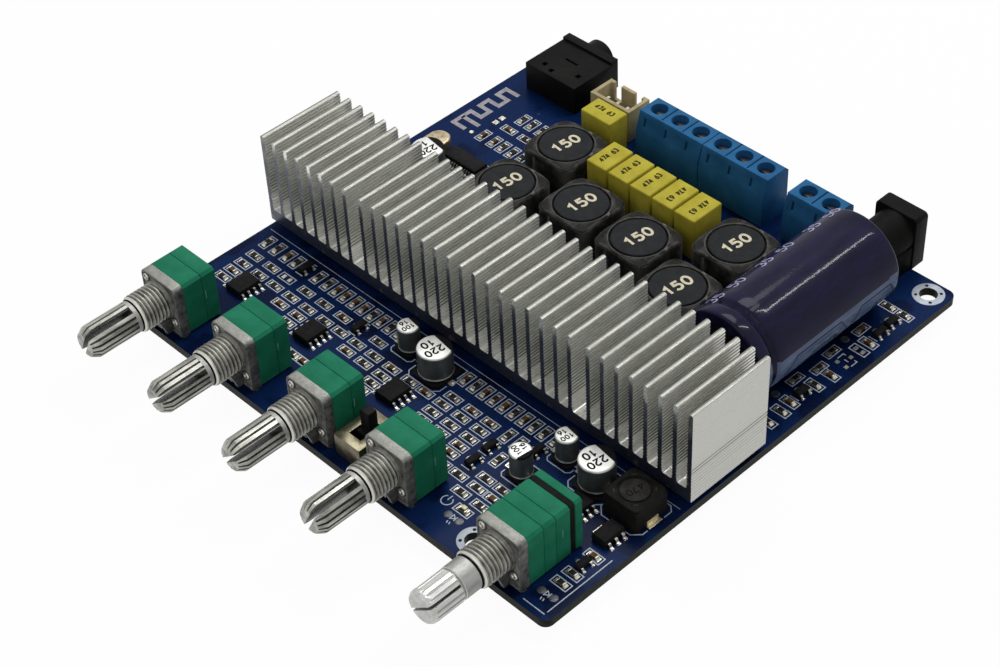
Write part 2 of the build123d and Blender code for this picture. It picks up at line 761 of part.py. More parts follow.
def terminal_housing(left, poles):
    section = [(terminal_front, board_top), (terminal_front, shoulder_z), (roof_front, terminal_roof),
               (terminal_back - terminal_back_chamfer, terminal_roof),
               (terminal_back, terminal_roof - terminal_back_chamfer), (terminal_back, board_top)]
    housing = side_profile(section, left, left + poles * terminal_pitch)
    for pole in range(poles):
        housing -= terminal_pole_cuts(left + (pole + 0.5) * terminal_pitch)
    for pole in range(1, poles):
        groove_x = left + pole * terminal_pitch
        housing -= box(groove_x - divider_width / 2, groove_x + divider_width / 2,
                       roof_front + divider_width, terminal_back - terminal_back_chamfer,
                       terminal_roof - divider_depth, terminal_roof)
    return housing


first_left = header_left + header_width + header_to_terminals
second_left = first_left + terminal_poles[0] * terminal_pitch + terminal_block_gap
third_left = jack_left - terminal_to_jack - terminal_poles[2] * terminal_pitch
pole_xs = []
for i, left in enumerate((first_left, second_left, third_left)):
    nodes[f"terminal_housing_{i + 1}"] = terminal_housing(left, terminal_poles[i])
    pole_xs += [left + (pole + 0.5) * terminal_pitch for pole in range(terminal_poles[i])]
for i, x in enumerate(pole_xs):
    nodes[f"terminal_screw_{i + 1}"] = terminal_screw(x)
    nodes[f"terminal_clamp_{i + 1}"] = terminal_clamp(x)
nodes["terminal_pins"] = [terminal_pin(x) for x in pole_xs]


# Reservoir capacitor, lying down, with its two leads bent into the board
end = reservoir_end_radius
groove = reservoir_groove_at
groove_half = reservoir_groove_half_width
reservoir = turned([(0, 0), (reservoir_radius - end, 0), (reservoir_radius, end),
                    (reservoir_radius, groove - groove_half), (reservoir_radius - reservoir_groove, groove),
                    (reservoir_radius, groove + groove_half), (reservoir_radius, reservoir_length - end),
                    (reservoir_radius - end, reservoir_length), (0, reservoir_length)])
reservoir_z = board_top + reservoir_radius
reservoir = facing_back(reservoir_x, reservoir_front, reservoir_z) * reservoir
lead_z = reservoir_z - reservoir_lead_drop
lead_y = reservoir_front - reservoir_lead_reach
for side in (-1, 1):
    x = reservoir_x + side * reservoir_lead_pitch / 2
    radius = reservoir_lead_radius
    run_length = reservoir_lead_reach + radius
    run = Pos(0, 0, run_length / 2) * Cylinder(radius, run_length)
    reservoir += facing_front(x, reservoir_front, lead_z) * run
    reservoir += rod(x, lead_y, lead_end, lead_z, radius)
    board_cuts.append(rod(x, lead_y, 0, board_top, radius + lead_clearance))
nodes["reservoir_capacitor"] = reservoir


# Output inductors: square shield with cut corners and a round core
inductor_places = [(inductor_columns[0], front_row), (inductor_columns[0], back_row),
                   (inductor_columns[1], middle_row), (inductor_columns[2], middle_row),
                   (inductor_columns[3], front_row), (inductor_columns[3], back_row)]
inductors = []
shield_top = board_top + inductor_height - inductor_core_step
for x, y in inductor_places:
    shield = block(x, y, inductor_size, inductor_size, board_top, shield_top)
    shield = chamfer(shield.edges().filter_by(Axis.Z), inductor_corner)
    inductors.append(shield + rod(x, y, shield_top, board_top + inductor_height, inductor_core_radius))
nodes["output_inductors"] = inductors

boost_x = board_width - boost_from_right
boost_top = board_top + boost_height
boost = block(boost_x, boost_from_front, boost_size, boost_size, board_top, boost_top)
boost = chamfer(boost.edges().filter_by(Axis.Z), boost_corner)
boost -= rod(boost_x, boost_from_front, boost_top - boost_recess_depth, boost_top, boost_recess_radius)
nodes["boost_inductor"] = boost


# Film capacitors: five side by side behind the middle pair, one across by the header
def film_capacitor(x, y, size_x, size_y):
    body = block(x, y, size_x, size_y, board_top, board_top + film_height)
    body = chamfer(body.edges().filter_by(Axis.Z) + body.edges().group_by(Axis.Z)[-1], film_edge)
    along_x = size_x > size_y
    for side in (-1, 1):
        shift = side * film_lead_pitch / 2
        lead_x = x + shift if along_x else x
        lead_y = y if along_x else y + shift
        body += lead(lead_x, lead_y, board_top, film_lead_width, film_lead_width)
    return body


film_row_x = inductor_columns[0] + (inductor_size + film_width) / 2 + film_to_inductor_column
film_row_y = middle_row + (inductor_size + film_length) / 2 + film_to_middle_pair
film_capacitors = []
for i in range(film_count):
    x = film_row_x + i * (film_width + film_gap)
    film_capacitors.append(film_capacitor(x, film_row_y, film_width, film_length))
single_film_x = header_left + film_single_from_header
film_capacitors.append(film_capacitor(single_film_x, single_film_y, film_length, film_width))
nodes["film_capacitors"] = film_capacitors


# Surface-mount electrolytic capacitors: base with two cut corners, and a can
large_can_places = [large_can_place, (board_width - boost_can_from_right, boost_can_from_front)]
tall_can_y = heatsink_back + tall_can_from_heatsink
middle_can_y = middle_row - inductor_size / 2 - middle_can_to_inductor - can_base_margin - can_radius_small
places = [(x, y, can_radius_small, can_height_small) for x, y in small_can_places]
places += [(x, y, can_radius_large, can_height_large) for x, y in large_can_places]
places.append((tall_can_from_left, tall_can_y, can_radius_large, can_height_tall))
places.append((middle_can_from_left, middle_can_y, can_radius_small, can_height_small))
cans = []
can_bases = []
can_foot = board_top + can_base_height
for x, y, radius, height in places:
    side = 2 * (radius + can_base_margin)
    foot = block(x, y, side, side, board_top, can_foot)
    can_bases.append(chamfer(foot.edges().filter_by(Axis.Z).group_by(Axis.Y)[0], radius * can_base_cut))
    top = board_top + height
    can = turned([(0, can_foot), (radius, can_foot), (radius, top - can_rim),
                  (radius - can_rim, top), (0, top)])
    cans.append(Pos(x, y) * can)
nodes["smd_capacitor_cans"] = cans
nodes["smd_capacitor_bases"] = can_bases


# Crystal in a can with round ends
crystal = extrude(Rot(0, 0, 90) * SlotOverall(crystal_length, crystal_width), crystal_height)
crystal_right = tall_can_from_left - can_radius_large - can_base_margin - crystal_to_can
crystal_x = crystal_right - crystal_width / 2
nodes["crystal"] = Pos(crystal_x, heatsink_back + crystal_from_heatsink, board_top) * crystal


# Chips: a moulded body with a row of leads on each long side
def chip(x, y, size, turned_by=0):
    body = block(0, 0, size["width"], size["length"], lead_sheet, size["height"])
    lead_width = size["pitch"] / 3
    lead_span = size["width"] + 2 * size["reach"]
    for i in range(size["leads"]):
        at = (i - (size["leads"] - 1) / 2) * size["pitch"]
        body += block(0, at, lead_span, lead_width, 0, lead_sheet)
    return Pos(x, y, board_top) * Rot(0, 0, turned_by) * body


right = board_width
back = heatsink_back
chips = [chip(x, driver_row, driver_chip) for x in driver_places]
chips.append(chip(right - right_driver_from_right, right_driver_row, driver_chip))
chips.append(chip(radio_from_left, back + radio_from_heatsink, radio_chip, 90))
chips.append(chip(right - regulator_from_right, regulator_row, regulator))
chips += [chip(x, y, transistor) for x, y in front_transistors]
chips.append(chip(right - right_transistor_from_right, right_transistor_row, transistor))
chips += [chip(right - x, back + y, transistor) for x, y in rear_transistors]
nodes["control_chips"] = chips


# Chip resistors and capacitors, in rows that lie across or stand upright
def chip_rows(rows, across, from_x, direction, from_y):
    size_x, size_y = (resistor_length, resistor_width) if across else (resistor_width, resistor_length)
    top = board_top + resistor_height
    return [block(from_x + direction * place, from_y + row, size_x, size_y, board_top, top)
            for row, places_along in rows for place in places_along]


chip_components = chip_rows(front_rows_across, True, 0, 1, 0)
chip_components += chip_rows(shaft_rows_across, True, pot_centres[3], 1, 0)
chip_components += chip_rows(right_rows_across, True, right, -1, 0)
chip_components += chip_rows(rear_left_rows_across, True, 0, 1, back)
chip_components += chip_rows(rear_right_rows_across, True, right, -1, back)
chip_components += chip_rows(front_rows_upright, False, 0, 1, 0)
chip_components += chip_rows(rear_left_rows_upright, False, 0, 1, back)
chip_components += chip_rows(rear_right_rows_upright, False, right, -1, back)
nodes["chip_components"] = chip_components


# Board, cut last for everything that goes through it
outline = RectangleRounded(board_width, board_depth, board_corner_radius)
board = Pos(board_width / 2, board_depth / 2) * extrude(outline, board_thickness)
mount_holes = [(board_width - front_hole_from_right, front_hole_from_front),
               (board_width - rear_hole_from_right, board_depth - rear_hole_from_back)]
for x, y in mount_holes:
    board_cuts.append(rod(x, y, 0, board_thickness, mount_hole_radius))
nodes["circuit_board"] = board - board_cuts

for name, piece in nodes.items():
    if isinstance(piece, list):
        moved = Compound(children=[to_origin * solid for solid in piece])
    else:
        moved = to_origin * piece
    export_step(moved, f"parts/{name}.step")
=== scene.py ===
import math
import random

import bmesh
import bpy
from mathutils import Matrix, Vector


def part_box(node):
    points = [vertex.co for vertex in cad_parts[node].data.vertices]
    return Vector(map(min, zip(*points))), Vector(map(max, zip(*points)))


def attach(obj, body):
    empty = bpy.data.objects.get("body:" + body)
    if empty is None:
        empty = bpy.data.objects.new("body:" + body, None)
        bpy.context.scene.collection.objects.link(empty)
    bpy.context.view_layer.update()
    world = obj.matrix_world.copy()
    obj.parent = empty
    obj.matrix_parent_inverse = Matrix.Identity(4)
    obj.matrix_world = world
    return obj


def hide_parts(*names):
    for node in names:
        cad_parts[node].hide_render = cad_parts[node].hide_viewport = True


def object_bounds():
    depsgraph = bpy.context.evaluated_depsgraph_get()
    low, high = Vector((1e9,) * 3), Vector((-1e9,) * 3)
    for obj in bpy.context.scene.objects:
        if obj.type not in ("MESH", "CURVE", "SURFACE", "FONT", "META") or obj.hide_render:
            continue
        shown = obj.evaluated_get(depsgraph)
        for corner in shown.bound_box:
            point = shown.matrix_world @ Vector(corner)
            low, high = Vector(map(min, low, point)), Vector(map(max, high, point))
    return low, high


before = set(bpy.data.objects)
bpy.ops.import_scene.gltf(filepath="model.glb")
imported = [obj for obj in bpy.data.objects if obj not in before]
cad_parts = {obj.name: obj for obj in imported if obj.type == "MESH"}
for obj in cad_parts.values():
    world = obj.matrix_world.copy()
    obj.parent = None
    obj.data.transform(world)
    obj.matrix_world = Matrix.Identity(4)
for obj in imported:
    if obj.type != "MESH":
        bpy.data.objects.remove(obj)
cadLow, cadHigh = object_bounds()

# lengths in the tables are millimetres; board places run from its front left corner and its top
mm = 0.001
boardLow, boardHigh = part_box("circuit_board")
boardWide = (boardHigh.x - boardLow.x) / mm
boardDeep = (boardHigh.y - boardLow.y) / mm
dice = random.Random(11)


def onBoard(x, y, z=0.0):
    return Vector((boardLow.x + x * mm, boardLow.y + y * mm, boardHigh.z + z * mm))


def fromBoard(point):
    return Vector(((point.x - boardLow.x) / mm, (point.y - boardLow.y) / mm, (point.z - boardHigh.z) / mm))


class Box:  # corners, size and middle of a solid in board millimetres
    def __init__(self, low, high):
        self.low, self.high = low, high
        self.size = high - low
        self.middle = (low + high) / 2


def nodeBox(node):
    return Box(*[fromBoard(corner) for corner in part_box(node)])


def shift(x, y, z=0.0, turn=0.0):
    return Matrix.Translation((x, y, z)) @ Matrix.Rotation(math.radians(turn), 4, "Z")


def facingFront(x, y, z):  # local z points to the front of the board, local y up
    return Matrix(((1, 0, 0, x), (0, 0, -1, y), (0, 1, 0, z), (0, 0, 0, 1)))


def facingBack(x, y, z):
    return Matrix(((-1, 0, 0, x), (0, 0, 1, y), (0, 1, 0, z), (0, 0, 0, 1)))


def fullTurn(steps, offset=0.0):  # angles all the way round
    return [2 * math.pi * (i + offset) / steps for i in range(steps)]


def quarterTurn(steps, first=0):
    return [math.pi / 2 * i / steps for i in range(first, steps + 1)]


def roundPoint(reach, angle, z=0.0):
    return Vector((reach * math.cos(angle), reach * math.sin(angle), z))


def lift(outline, z, scale=1.0):  # an outline's points at one height
    return [Vector((x * scale, y * scale, z)) for x, y in outline]


# forms are plain (points, faces) pairs in millimetres
def formOf(mesh):
    mesh.verts.index_update()
    points = [vert.co.copy() for vert in mesh.verts]
    faces = [tuple(vert.index for vert in face.verts) for face in mesh.faces]
    mesh.free()
    return points, faces


def breakEdges(mesh, edges, offset, steps):
    bmesh.ops.bevel(mesh, geom=edges, offset=offset, segments=steps, profile=0.5, affect="EDGES",
                    clamp_overlap=True)


def blockForm(wide, deep, high, edge=0.0, steps=2):
    mesh = bmesh.new()
    bmesh.ops.create_cube(mesh, size=1.0)
    for vert in mesh.verts:
        vert.co = Vector((vert.co.x * wide, vert.co.y * deep, (vert.co.z + 0.5) * high))
    if edge:
        breakEdges(mesh, mesh.edges[:], edge, steps)
    return formOf(mesh)


def prismForm(outline, low, high, edge=0.0, steps=2, bothEnds=False):
    mesh = bmesh.new()
    face = mesh.faces.new([mesh.verts.new((x, y, low)) for x, y in outline])
    made = bmesh.ops.extrude_face_region(mesh, geom=[face])["geom"]
    top = [part for part in made if isinstance(part, bmesh.types.BMVert)]
    bmesh.ops.translate(mesh, verts=top, vec=(0, 0, high - low))
    bmesh.ops.recalc_face_normals(mesh, faces=mesh.faces[:])
    if edge:
        ends = (low, high) if bothEnds else (high,)
        rims = [e for e in mesh.edges
                if any(all(abs(v.co.z - end) < 1e-6 for v in e.verts) for end in ends)]
        breakEdges(mesh, rims, edge, steps)
    return formOf(mesh)


def ringsForm(rings, closed=True):  # skins equal rings of points, with flat ends
    count = len(rings[0])
    points = [point for ring in rings for point in ring]
    faces = []
    for row in range(len(rings) - 1):
        a, b = row * count, (row + 1) * count
        for i in range(count):
            j = (i + 1) % count
            faces.append((a + i, a + j, b + j, b + i))
    if closed:
        last = (len(rings) - 1) * count
        faces.append(tuple(reversed(range(count))))
        faces.append(tuple(range(last, last + count)))
    return points, faces


def latheForm(profile, steps=32):  # profile of (radius, height) from the bottom up
    points, faces, rings = [], [], []
    for radius, height in profile:
        angles = fullTurn(steps) if radius > 1e-6 else [0.0]
        rings.append([len(points) + i for i in range(len(angles))])
        points += [roundPoint(radius, angle, height) for angle in angles]
    for low, high in zip(rings, rings[1:]):
        for i in range(steps):
            j = (i + 1) % steps
            if len(low) == 1:
                faces.append((low[0], high[j], high[i]))
            elif len(high) == 1:
                faces.append((low[i], low[j], high[0]))
            else:
                faces.append((low[i], low[j], high[j], high[i]))
    return points, faces


def discForm(radius, low, high, steps):
    return latheForm([(0.0, low), (radius, low), (radius, high), (0.0, high)], steps)


def wireForm(path, radius, steps=12):
    rings = []
    for i, point in enumerate(path):
        along = (path[min(i + 1, len(path) - 1)] - path[max(i - 1, 0)]).normalized()
        side = Vector((1, 0, 0))
        up = along.cross(side).normalized()
        rings.append([point + radius * (math.cos(angle) * side + math.sin(angle) * up)
                      for angle in fullTurn(steps)])
    return ringsForm(rings)


def stripForm(path, wide, thick=0.2):  # a flat lead along a centre line of (along, height) points
    rings = []
    for i, (u, v) in enumerate(path):
        along = Vector(path[min(i + 1, len(path) - 1)]) - Vector(path[max(i - 1, 0)])
        x, y = Vector((-along.y, along.x)).normalized() * thick / 2
        rings.append([Vector((u + x, -wide / 2, v + y)), Vector((u - x, -wide / 2, v - y)),
                      Vector((u - x, wide / 2, v - y)), Vector((u + x, wide / 2, v + y))])
    return ringsForm(rings)


def roundedOutline(wide, deep, corner, steps=5):
    outline = []
    for quarter, (sx, sy) in enumerate(((1, 1), (-1, 1), (-1, -1), (1, -1))):
        cx, cy = sx * (wide / 2 - corner), sy * (deep / 2 - corner)
        for angle in quarterTurn(steps):
            angle += math.pi / 2 * quarter
            outline.append((cx + corner * math.cos(angle), cy + corner * math.sin(angle)))
    return outline


def arcPath(x, y, wide, high, start, end, steps=14):
    turns = [math.radians(start + (end - start) * i / steps) for i in range(steps + 1)]
    return [(x + wide * math.cos(turn), y + high * math.sin(turn)) for turn in turns]


def ribbonForm(path, wide, thick=0.02):  # one printed stroke; a path that ends at its start is a ring
    isRing = math.dist(path[0], path[-1]) < 1e-6
    stops = [Vector(point) for point in (path[:-1] if isRing else path)]
    rings = []
    for i, here in enumerate(stops):
        into = here - stops[i - 1] if isRing or i else stops[1] - here
        out = stops[(i + 1) % len(stops)] - here if isRing or i + 1 < len(stops) else into
        along = (into.normalized() + out.normalized()).normalized()
        across = Vector((-along.y, along.x)) * wide / 2 / max(0.5, along.dot(into.normalized()))
        left, right = here + across, here - across
        rings.append(lift((left, right), 0) + lift((right, left), thick))
    if isRing:
        rings.append(rings[0])
    return ringsForm(rings, closed=not isRing)


digitStrokes = {
    "0": [arcPath(0.3, 0.5, 0.3, 0.5, 0, 360, 20)],
    "1": [[(0.08, 0.74), (0.36, 0.98), (0.36, 0.0)]],
    "2": [arcPath(0.3, 0.7, 0.28, 0.3, 165, -35) + [(0.0, 0.0), (0.62, 0.0)]],
    "3": [arcPath(0.27, 0.75, 0.26, 0.25, 150, -85), arcPath(0.28, 0.26, 0.3, 0.26, 85, -150)],
    "4": [[(0.62, 0.26), (0.0, 0.26), (0.44, 1.0)], [(0.44, 1.0), (0.44, 0.0)]],
    "5": [[(0.56, 1.0), (0.1, 1.0), (0.05, 0.52)], arcPath(0.27, 0.32, 0.31, 0.32, 128, -150)],
    "6": [arcPath(0.3, 0.3, 0.29, 0.3, 0, 360, 18), [(0.5, 1.0), (0.16, 0.66), (0.02, 0.32)]],
    "7": [[(0.0, 1.0), (0.6, 1.0), (0.22, 0.0)]],
    " ": [],
}


def numberForm(text, height, thick=0.02, bold=0.2, wide=1.0):  # plain numbers as a thin printed layer
    step = (0.64 + bold * 1.25) * height * wide
    tall = height * (1 - bold)
    points, faces = [], []
    for place, sign in enumerate(text):
        left = (place - (len(text) - 1) / 2) * step - 0.3 * height * wide
        for layer, path in enumerate(digitStrokes[sign]):  # crossing strokes lie at different heights
            inPlace = [(left + x * height * wide, (y - 0.5) * tall) for x, y in path]
            formPoints, formFaces = ribbonForm(inPlace, bold * height, thick + 0.004 * layer)
            start = len(points)
            points += formPoints
            faces += [tuple(start + i for i in face) for face in formFaces]
    return points, faces


def faceMiddle(form, face):
    return sum((form[0][i] for i in face), Vector()) / len(face)


class Piece:  # gathers forms in board millimetres and makes one object of them
    def __init__(self, name, *finishes):
        self.name = name
        self.finishes = [finish[one] for one in finishes]
        self.points = []
        self.faces = []
        self.marks = []

    def add(self, form, where=None, mark=0):
        start = len(self.points)
        points, faces = form
        self.points += [where @ point for point in points] if where else points
        self.faces += [tuple(start + i for i in face) for face in faces]
        self.marks += [mark] * len(faces)

    def addPart(self, part, where):  # a part keeps its own finishes
        start = len(self.marks)
        self.add((part.points, part.faces), where)
        self.marks[start:] = part.marks

    def mesh(self):
        mesh = bpy.data.meshes.new(self.name)
        mesh.from_pydata([onBoard(*point) for point in self.points], [], self.faces)
        return mesh

    def build(self, body, slotName, *nodes, sharp=38):
        mesh = self.mesh()
        mesh.update()
        for one in self.finishes:
            mesh.materials.append(one)
        mesh.polygons.foreach_set("material_index", self.marks)
        return showPiece(self.name, mesh, body, nodes, sharp)


def smoothMesh(mesh, sharp):
    mesh.polygons.foreach_set("use_smooth", [True] * len(mesh.polygons))
    mesh.set_sharp_from_angle(angle=math.radians(sharp))


def newObject(name, data):
    made = bpy.data.objects.new(name, data)
    bpy.context.scene.collection.objects.link(made)
    return made


def showPiece(name, mesh, body, nodes, sharp):
    smoothMesh(mesh, sharp)
    piece = newObject(name, mesh)
    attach(piece, body)
    if nodes:
        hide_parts(*nodes)
    return piece


def edgedCopy(node, finishName, edge, body, steps=2):  # a CAD node with broken edges
    mesh = bmesh.new()
    mesh.from_mesh(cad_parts[node].data)
    bmesh.ops.remove_doubles(mesh, verts=mesh.verts[:], dist=1e-6)
    bmesh.ops.dissolve_limit(mesh, angle_limit=math.radians(1.5), verts=mesh.verts[:], edges=mesh.edges[:])
    corners = [e for e in mesh.edges if len(e.link_faces) == 2 and e.calc_face_angle(0) > math.radians(40)]
    breakEdges(mesh, corners, edge * mm, steps)
    for face in mesh.faces:
        face.material_index = 0
    made = bpy.data.meshes.new(node + "_finished")
    mesh.to_mesh(made)
    mesh.free()
    made.materials.clear()
    made.materials.append(finish[finishName])
    showPiece(node + "_finished", made, body, [node], 38)


def paintNodes(finishName, *nodes):  # CAD nodes whose form is right keep it and get a finish
    for node in nodes:
        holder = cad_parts[node]
        if not holder.material_slots:
            holder.data.materials.append(None)
        for materialSlot in holder.material_slots:
            materialSlot.link = "OBJECT"
            materialSlot.material = finish[finishName]


def solidBoxes(node):  # boxes of the separate solids in a CAD node
    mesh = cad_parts[node].data
    keys, owner = {}, []
    for vert in mesh.vertices:
        key = tuple(round(value * 1e6) for value in vert.co)
        owner.append(keys.setdefault(key, len(keys)))
    root = list(range(len(keys)))

    def find(i):
        while root[i] != i:
            root[i] = root[root[i]]
            i = root[i]
        return i

    for polygon in mesh.polygons:
        first = find(owner[polygon.vertices[0]])
        for index in polygon.vertices:
            root[find(owner[index])] = first
    groups = {}
    for vert, own in zip(mesh.vertices, owner):
        groups.setdefault(find(own), []).append(fromBoard(vert.co))
    boxes = []
    for points in groups.values():
        low = Vector([min(point[axis] for point in points) for axis in range(3)])
        high = Vector([max(point[axis] for point in points) for axis in range(3)])
        boxes.append(Box(low, high))
    return sorted(boxes, key=lambda box: (round(box.low.y, 2), round(box.low.x, 2)))


print("stage 1: helpers ready, board", round(boardWide, 1), "by", round(boardDeep, 1), "mm")


# finishes
def seen(*colour):  # a colour as seen, 0 to 255, to the linear value the shader wants
    return tuple(((v / 255 + 0.055) / 1.055) ** 2.4 if v > 10 else v / 255 / 12.92 for v in colour)


def paints(look):  # the look's triples as colours for the shader
    return {name: seen(*value) for name, value in look.items()
            if isinstance(value, tuple) and len(value) == 3}


class Wiring:  # adds nodes to a material or world; most methods return the socket to wire on
    def __init__(self, owner):
        owner.use_nodes = True
        self.tree = owner.node_tree
        self.shader = self.tree.nodes.get("Principled BSDF")

    def feed(self, node, **inputs):  # an input takes a number, a colour, a vector or a node's output
        for name, value in inputs.items():
            self.fill(node.inputs[name.replace("_", " ")], value)

    def fill(self, socket, value):
        if isinstance(value, bpy.types.NodeSocket):
            self.tree.links.new(value, socket)
        elif socket.type == "RGBA":
            socket.default_value = (*value, 1.0)
        else:
            socket.default_value = value

    def add(self, kind, **inputs):
        node = self.tree.nodes.new("ShaderNode" + kind)
        self.feed(node, **inputs)
        return node

    def noise(self, place, perMm, detail=4.0, rough=0.55):
        node = self.add("TexNoise", Vector=place, Scale=perMm / mm, Detail=detail, Roughness=rough)
        return node.outputs["Fac"]

    def ramp(self, factor, *stops):
        node = self.add("ValToRGB", Fac=factor)
        elements = node.color_ramp.elements
        while len(elements) < len(stops):
            elements.new(0.5)
        for element, (position, colour) in zip(elements, stops):
            element.position = position
            element.color = (*colour, 1.0)
        return node.outputs["Color"]

    def span(self, value, lowIn, highIn, lowOut=0.0, highOut=1.0):
        return self.add("MapRange", Value=value, From_Min=lowIn, From_Max=highIn, To_Min=lowOut,
                        To_Max=highOut).outputs["Result"]

    def math(self, kind, *values):
        node = self.add("Math")
        node.operation = kind
        for socket, value in zip(node.inputs, values):
            self.fill(socket, value)
        return node.outputs["Value"]

    def mix(self, factor, first, second):
        node = self.add("Mix")
        node.data_type = "RGBA"
        for socket, value in zip((node.inputs[0], node.inputs[6], node.inputs[7]), (factor, first, second)):
            self.fill(socket, value)
        return node.outputs[2]

    def place(self, *stretch):  # where a point lies on its object, stretched along the axes if wished
        place = self.add("TexCoord").outputs["Object"]
        return self.add("Mapping", Vector=place, Scale=stretch).outputs["Vector"] if stretch else place

    def split(self, vector):
        return self.add("SeparateXYZ", Vector=vector).outputs

    def surface(self, name):
        return self.add("NewGeometry").outputs[name]

    def isPast(self, value, limit):
        return self.math("GREATER_THAN", value, limit)

    def looksAlong(self, axis):  # 1 where the face looks along this axis, either way
        return self.isPast(self.math("ABSOLUTE", self.split(self.surface("True Normal"))[axis]), 0.7)

    def bump(self, height, strength, distance):
        node = self.add("Bump", Height=height, Strength=strength, Distance=distance * mm)
        self.feed(self.shader, Normal=node.outputs["Normal"])


def newFinish(name):
    material = bpy.data.materials.new(name)
    return material, Wiring(material)


